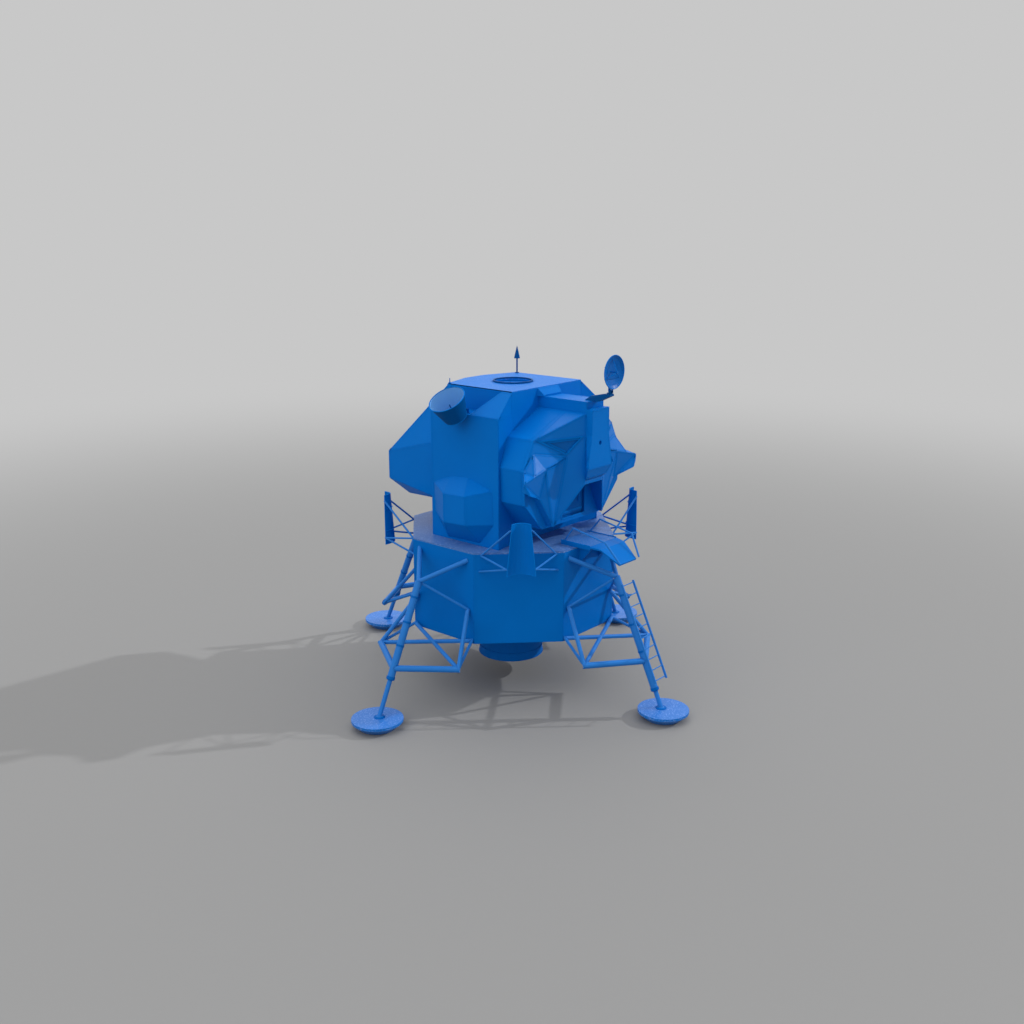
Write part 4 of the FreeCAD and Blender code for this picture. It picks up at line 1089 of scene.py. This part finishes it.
@dataclass
class Radar:
    """Rim, back ribs and feed struts of the radar dish, and its trunnion pins.

    A rib's stops are radius on the dish, distance ahead of its root, and radius of the rib.
    """

    dish: Triple = (0.0, -2.645, 7.090)
    radius: float = 0.350
    rim_ahead: float = 0.097
    rim_inset: float = 0.010
    rim_wire: float = 0.008
    struts: int = 3
    strut_foot: Pair = (0.26, 0.055)
    strut_head: float = 0.168
    strut_radius: float = 0.007
    ribs: int = 8
    rib_stops: tuple[Triple, ...] = (
        (0.06, -0.002, 0.009), (0.175, 0.012, 0.009), (0.287, 0.052, 0.007), (0.338, 0.086, 0.005),
    )
    pivot: Pair = (-2.670, 6.712)
    pin: Pair = (0.048, 0.007)
    pin_head: Pair = (0.014, 0.014)

    def build(self) -> None:
        """Dresses the dish and its trunnion."""
        x, y, z = self.dish
        shape = Shape()
        shape.hoop((x, y - self.rim_ahead, z), AHEAD, self.radius - self.rim_inset, self.rim_wire, 64)
        out, ahead = self.strut_foot
        for angle in turns(self.struts):
            lean = angle + math.pi / 2.0
            root = Vector((x + out * math.cos(lean), y - ahead, z + out * math.sin(lean)))
            shape.rod(root, (x, y - self.strut_head, z), self.strut_radius, steps=10)
        for angle in turns(self.ribs, 0.5):
            way = Vector((math.cos(angle), 0.0, math.sin(angle)))
            stops = [(Vector((x, y - ahead, z)) + way * out, thick) for out, ahead, thick in self.rib_stops]
            for (a, near), (b, far) in zip(stops, stops[1:]):
                shape.rod(a, b, near, far, steps=8)
        shape.piece("radar_dish_ribs", "radar_dish", EDGE_PAINT, "dish")
        pins = Shape()
        for sign in (1.0, -1.0):
            spot = (sign * self.pin[0], self.pivot[0] + self.pin[1], self.pivot[1])
            pins.bolt(spot, (sign, 0, 0), *self.pin_head)
        pins.piece("radar_trunnion_pins", "radar_yoke", FITTING_PAINT, "fitting")


@dataclass
class Cup:
    """Hoops, lining and trunnion pins of the steerable antenna cup."""

    pivot: Triple = (-1.575, -0.130, 6.250)
    axis: Triple = (-0.545, 0.0, 0.838)
    across: Triple = (-0.838, 0.0, -0.545)
    floor: Pair = (0.049, 0.328)
    depth: float = 0.500
    rim: float = 0.390
    back: float = 0.240
    rim_inset: float = 0.004
    rim_wire: float = 0.010
    band_level: float = 0.012
    band_stand: float = 0.003
    band_wire: float = 0.007
    lining_wall: Pair = (0.020, 0.016)
    lining_back: tuple[Pair, ...] = ((0.020, 0.020), (0.013, 0.017))
    lining_gap: float = 0.006
    pin_out: float = 0.058
    pin_head: Pair = (0.014, 0.012)

    def build(self) -> None:
        """Dresses the cup."""
        axis = Vector(self.axis).normalized()
        base = Vector(self.pivot) + axis * self.floor[0] + Vector(self.across).normalized() * self.floor[1]
        shape = Shape()
        shape.hoop(base + axis * (self.depth - self.rim_inset), axis, self.rim - self.rim_inset,
                   self.rim_wire, 72)
        shape.hoop(base + axis * self.band_level, axis, self.back + self.band_stand, self.band_wire, 64, 6)
        shape.piece("antenna_cup_hoops", "sband_dish", EDGE_PAINT, "dish")
        # A pale lining inside the cup: painted reflection of its glossy bowl.
        lining = Shape()
        mouth = self.depth - self.lining_gap
        (near, near_level), (far, far_level) = self.lining_back
        lining.lathe([(self.back - near, near_level), (self.rim - self.lining_wall[0], mouth),
                      (self.rim - self.lining_wall[1], mouth), (self.back - far, far_level)],
                     base, axis, 64)
        lining.piece("antenna_cup_lining", "sband_dish", LINING_REFLECTION_PAINT, "dish")
        pins = Shape()
        x, y, z = self.pivot
        for sign in (1.0, -1.0):
            pins.bolt((x, y + sign * self.pin_out, z), (0, sign, 0), *self.pin_head)
        pins.piece("antenna_trunnion_pins", "sband_yoke", FITTING_PAINT, "fitting")


@dataclass
class Engine:
    """Rim and stiffening hoops on the engine bell, whose outline is radius and height."""

    outline: tuple[Pair, ...] = ((0.160, 2.140), (0.520, 1.500), (0.690, 0.880), (0.735, 0.420))
    rim: Triple = (0.434, 0.727, 0.014)
    hoops: tuple[float, ...] = (0.60, 0.88, 1.18, 1.50)
    hoop_stand: float = 0.002
    hoop_wire: float = 0.010

    def build(self) -> None:
        """Adds the rim and stiffening hoops."""
        shape = Shape()
        level, radius, wire = self.rim
        shape.hoop((0, 0, level), UP, radius, wire, 96)
        for z in self.hoops:
            for low, high in zip(self.outline, self.outline[1:]):
                if high[1] <= z <= low[1]:
                    share = (z - low[1]) / (high[1] - low[1])
                    radius = low[0] + (high[0] - low[0]) * share + self.hoop_stand
                    shape.hoop((0, 0, z), UP, radius, self.hoop_wire, 72, 6)
                    break
        shape.piece("engine_bell_hoops", "engine", BELL_PAINT, "bell")


@dataclass
class RoofGapShadow:
    """Dark strip under the two long edges of the roof panel: painted shadow of the gap there."""

    front: Pair = (1.150, -1.030)
    aft: Pair = (1.125, 0.812)
    end_gap: float = 0.02
    level: float = 6.640
    width: float = 0.024
    rise: float = 0.004

    def build(self) -> None:
        """Adds one painted shadow strip each side."""
        shape = Shape()
        for sign in (1.0, -1.0):
            start = (sign * self.front[0], self.front[1] + self.end_gap, self.level)
            end = (sign * self.aft[0], self.aft[1] - self.end_gap, self.level)
            shape.strip(start, end, (sign, 0.0, 0.0), self.width, self.rise)
        shape.piece("roof_edge_painted_shadow", ROOT, GAP_SHADOW_PAINT, "skin")


@dataclass
class SmallAerials:
    """Spike aerial at the aft starboard corner of the roof."""

    spot: Triple = (-1.100, 0.780, 6.655)
    outline: tuple[Pair, ...] = (
        (0, 0), (0.030, 0), (0.030, 0.012), (0.012, 0.02), (0.008, 0.105), (0, 0.112),
    )

    def build(self) -> None:
        """Adds the spike on its base."""
        shape = Shape()
        shape.lathe(self.outline, self.spot, UP, 20)
        shape.piece("corner_aerial", ROOT, FITTING_PAINT, "fitting")


@dataclass(frozen=True)
class Lamp:
    """A sun lamp: direction towards it, strength, and angular size in degrees."""

    name: str
    toward: Triple
    strength: float
    spread: float

    def build(self) -> None:
        """Adds the lamp."""
        data = bpy.data.lights.new(self.name, "SUN")
        data.energy = self.strength
        data.angle = math.radians(self.spread)
        lamp = add_object(self.name, data)
        lamp.rotation_euler = Vector(self.toward).to_track_quat("Z", "Y").to_euler()


@dataclass
class Studio:
    """Floor, light and camera. The floor fades into the backdrop between two distances."""

    lamps: tuple[Lamp, ...] = (
        Lamp("key", (0.700, -0.509, 0.500), 1.50, 1.0),
        Lamp("side", (-0.86, 0.02, 0.50), 0.62, 60.0),
        Lamp("overhead", (0.0, 0.0, 1.0), 1.05, 90.0),
        Lamp("back", (0.60, 0.52, 0.52), 0.50, 70.0),
    )
    fill_strength: float = 0.60
    floor_tone: str = "#868686"
    floor_half: float = 400.0
    floor_roughness: float = 0.8
    fade: Pair = (8.0, 48.0)
    air_tone: str = "#C8C8C8"
    lens: float = 39.41
    sensor: float = 36.0
    reach: float = 1000.0
    camera_spot: Triple = (-18.378, -15.821, 10.178)
    camera_down: float = 14.939
    camera_heading: float = -49.333

    def build(self) -> None:
        """Sets up the studio."""
        self.floor()
        self.air()
        for lamp in self.lamps:
            lamp.build()
        self.camera()

    def floor(self) -> None:
        """Adds the plain pale floor."""
        data = bpy.data.meshes.new("studio floor")
        size = self.floor_half
        corners = [(-size, -size, 0), (size, -size, 0), (size, size, 0), (-size, size, 0)]
        data.from_pydata(corners, [], [(0, 1, 2, 3)])
        floor = add_object("studio_floor", data)
        made = blank_material("seamless paper floor")
        tree = made.node_tree
        shader = add_node(tree, "ShaderNodeBsdfPrincipled", {
            "Base Color": linear(self.floor_tone), "Roughness": self.floor_roughness,
        })
        # The floor fades into the backdrop's colour with distance, so it meets the backdrop without a line.
        place = add_node(tree, "ShaderNodeTexCoord").outputs["Object"]
        far = add_node(tree, "ShaderNodeVectorMath", {0: place}, operation="LENGTH")
        share = add_node(tree, "ShaderNodeMapRange", {
            "Value": far.outputs["Value"], "From Min": self.fade[0], "From Max": self.fade[1],
        }, interpolation_type="SMOOTHERSTEP")
        sweep = add_node(tree, "ShaderNodeEmission", {"Color": linear(self.air_tone), "Strength": 1.0})
        mixed = add_node(tree, "ShaderNodeMixShader", {
            0: share.outputs["Result"], 1: shader.outputs["BSDF"], 2: sweep.outputs["Emission"],
        })
        add_node(tree, "ShaderNodeOutputMaterial", {"Surface": mixed.outputs[0]})
        data.materials.append(made)

    def air(self) -> None:
        """Sets the even light all round and the pale backdrop."""
        world = bpy.data.worlds.new("studio air")
        bpy.context.scene.world = world
        world.use_nodes = True
        tree = world.node_tree
        tree.nodes.clear()
        ray = add_node(tree, "ShaderNodeLightPath").outputs
        light = add_node(tree, "ShaderNodeBackground", {
            "Color": (1.0, 1.0, 1.0, 1.0), "Strength": self.fill_strength,
        })
        back = add_node(tree, "ShaderNodeBackground", {"Color": linear(self.air_tone), "Strength": 1.0})
        shiny = add_node(tree, "ShaderNodeMath", {
            0: ray["Is Glossy Ray"], 1: ray["Is Transmission Ray"],
        }, operation="ADD")
        seen = add_node(tree, "ShaderNodeMath", {
            0: ray["Is Camera Ray"], 1: shiny.outputs[0],
        }, operation="ADD", use_clamp=True)
        mixed = add_node(tree, "ShaderNodeMixShader", {
            0: seen.outputs[0], 1: light.outputs[0], 2: back.outputs[0],
        })
        add_node(tree, "ShaderNodeOutputWorld", {"Surface": mixed.outputs[0]})

    def camera(self) -> None:
        """Adds the camera at the front starboard quarter."""
        data = bpy.data.cameras.new("quarter view")
        data.lens = self.lens
        data.sensor_width = self.sensor
        data.clip_end = self.reach
        camera = add_object("quarter view", data)
        camera.location = self.camera_spot
        tilt, heading = 90.0 - self.camera_down, self.camera_heading
        camera.rotation_euler = (math.radians(tilt), 0.0, math.radians(heading))
        bpy.context.scene.camera = camera
        bpy.context.scene.view_settings.view_transform = "Standard"


def main() -> None:
    """Builds the looks in order."""
    logging.basicConfig(level=logging.INFO, format="%(name)s: %(message)s")
    Studio().build()
    paint_nodes()
    assemblies = (
        PanelSeams(Surfaces()), Windows(), LegFittings(), Deflectors(), Porch(), DockingPort(),
        FrontHatch(), Radar(), Cup(), Engine(), RoofGapShadow(), SmallAerials(),
    )
    for assembly in assemblies:
        assembly.build()
        LOG.info("built %s", type(assembly).__name__)
    bpy.context.view_layer.update()


if __name__ == "__main__":
    main()
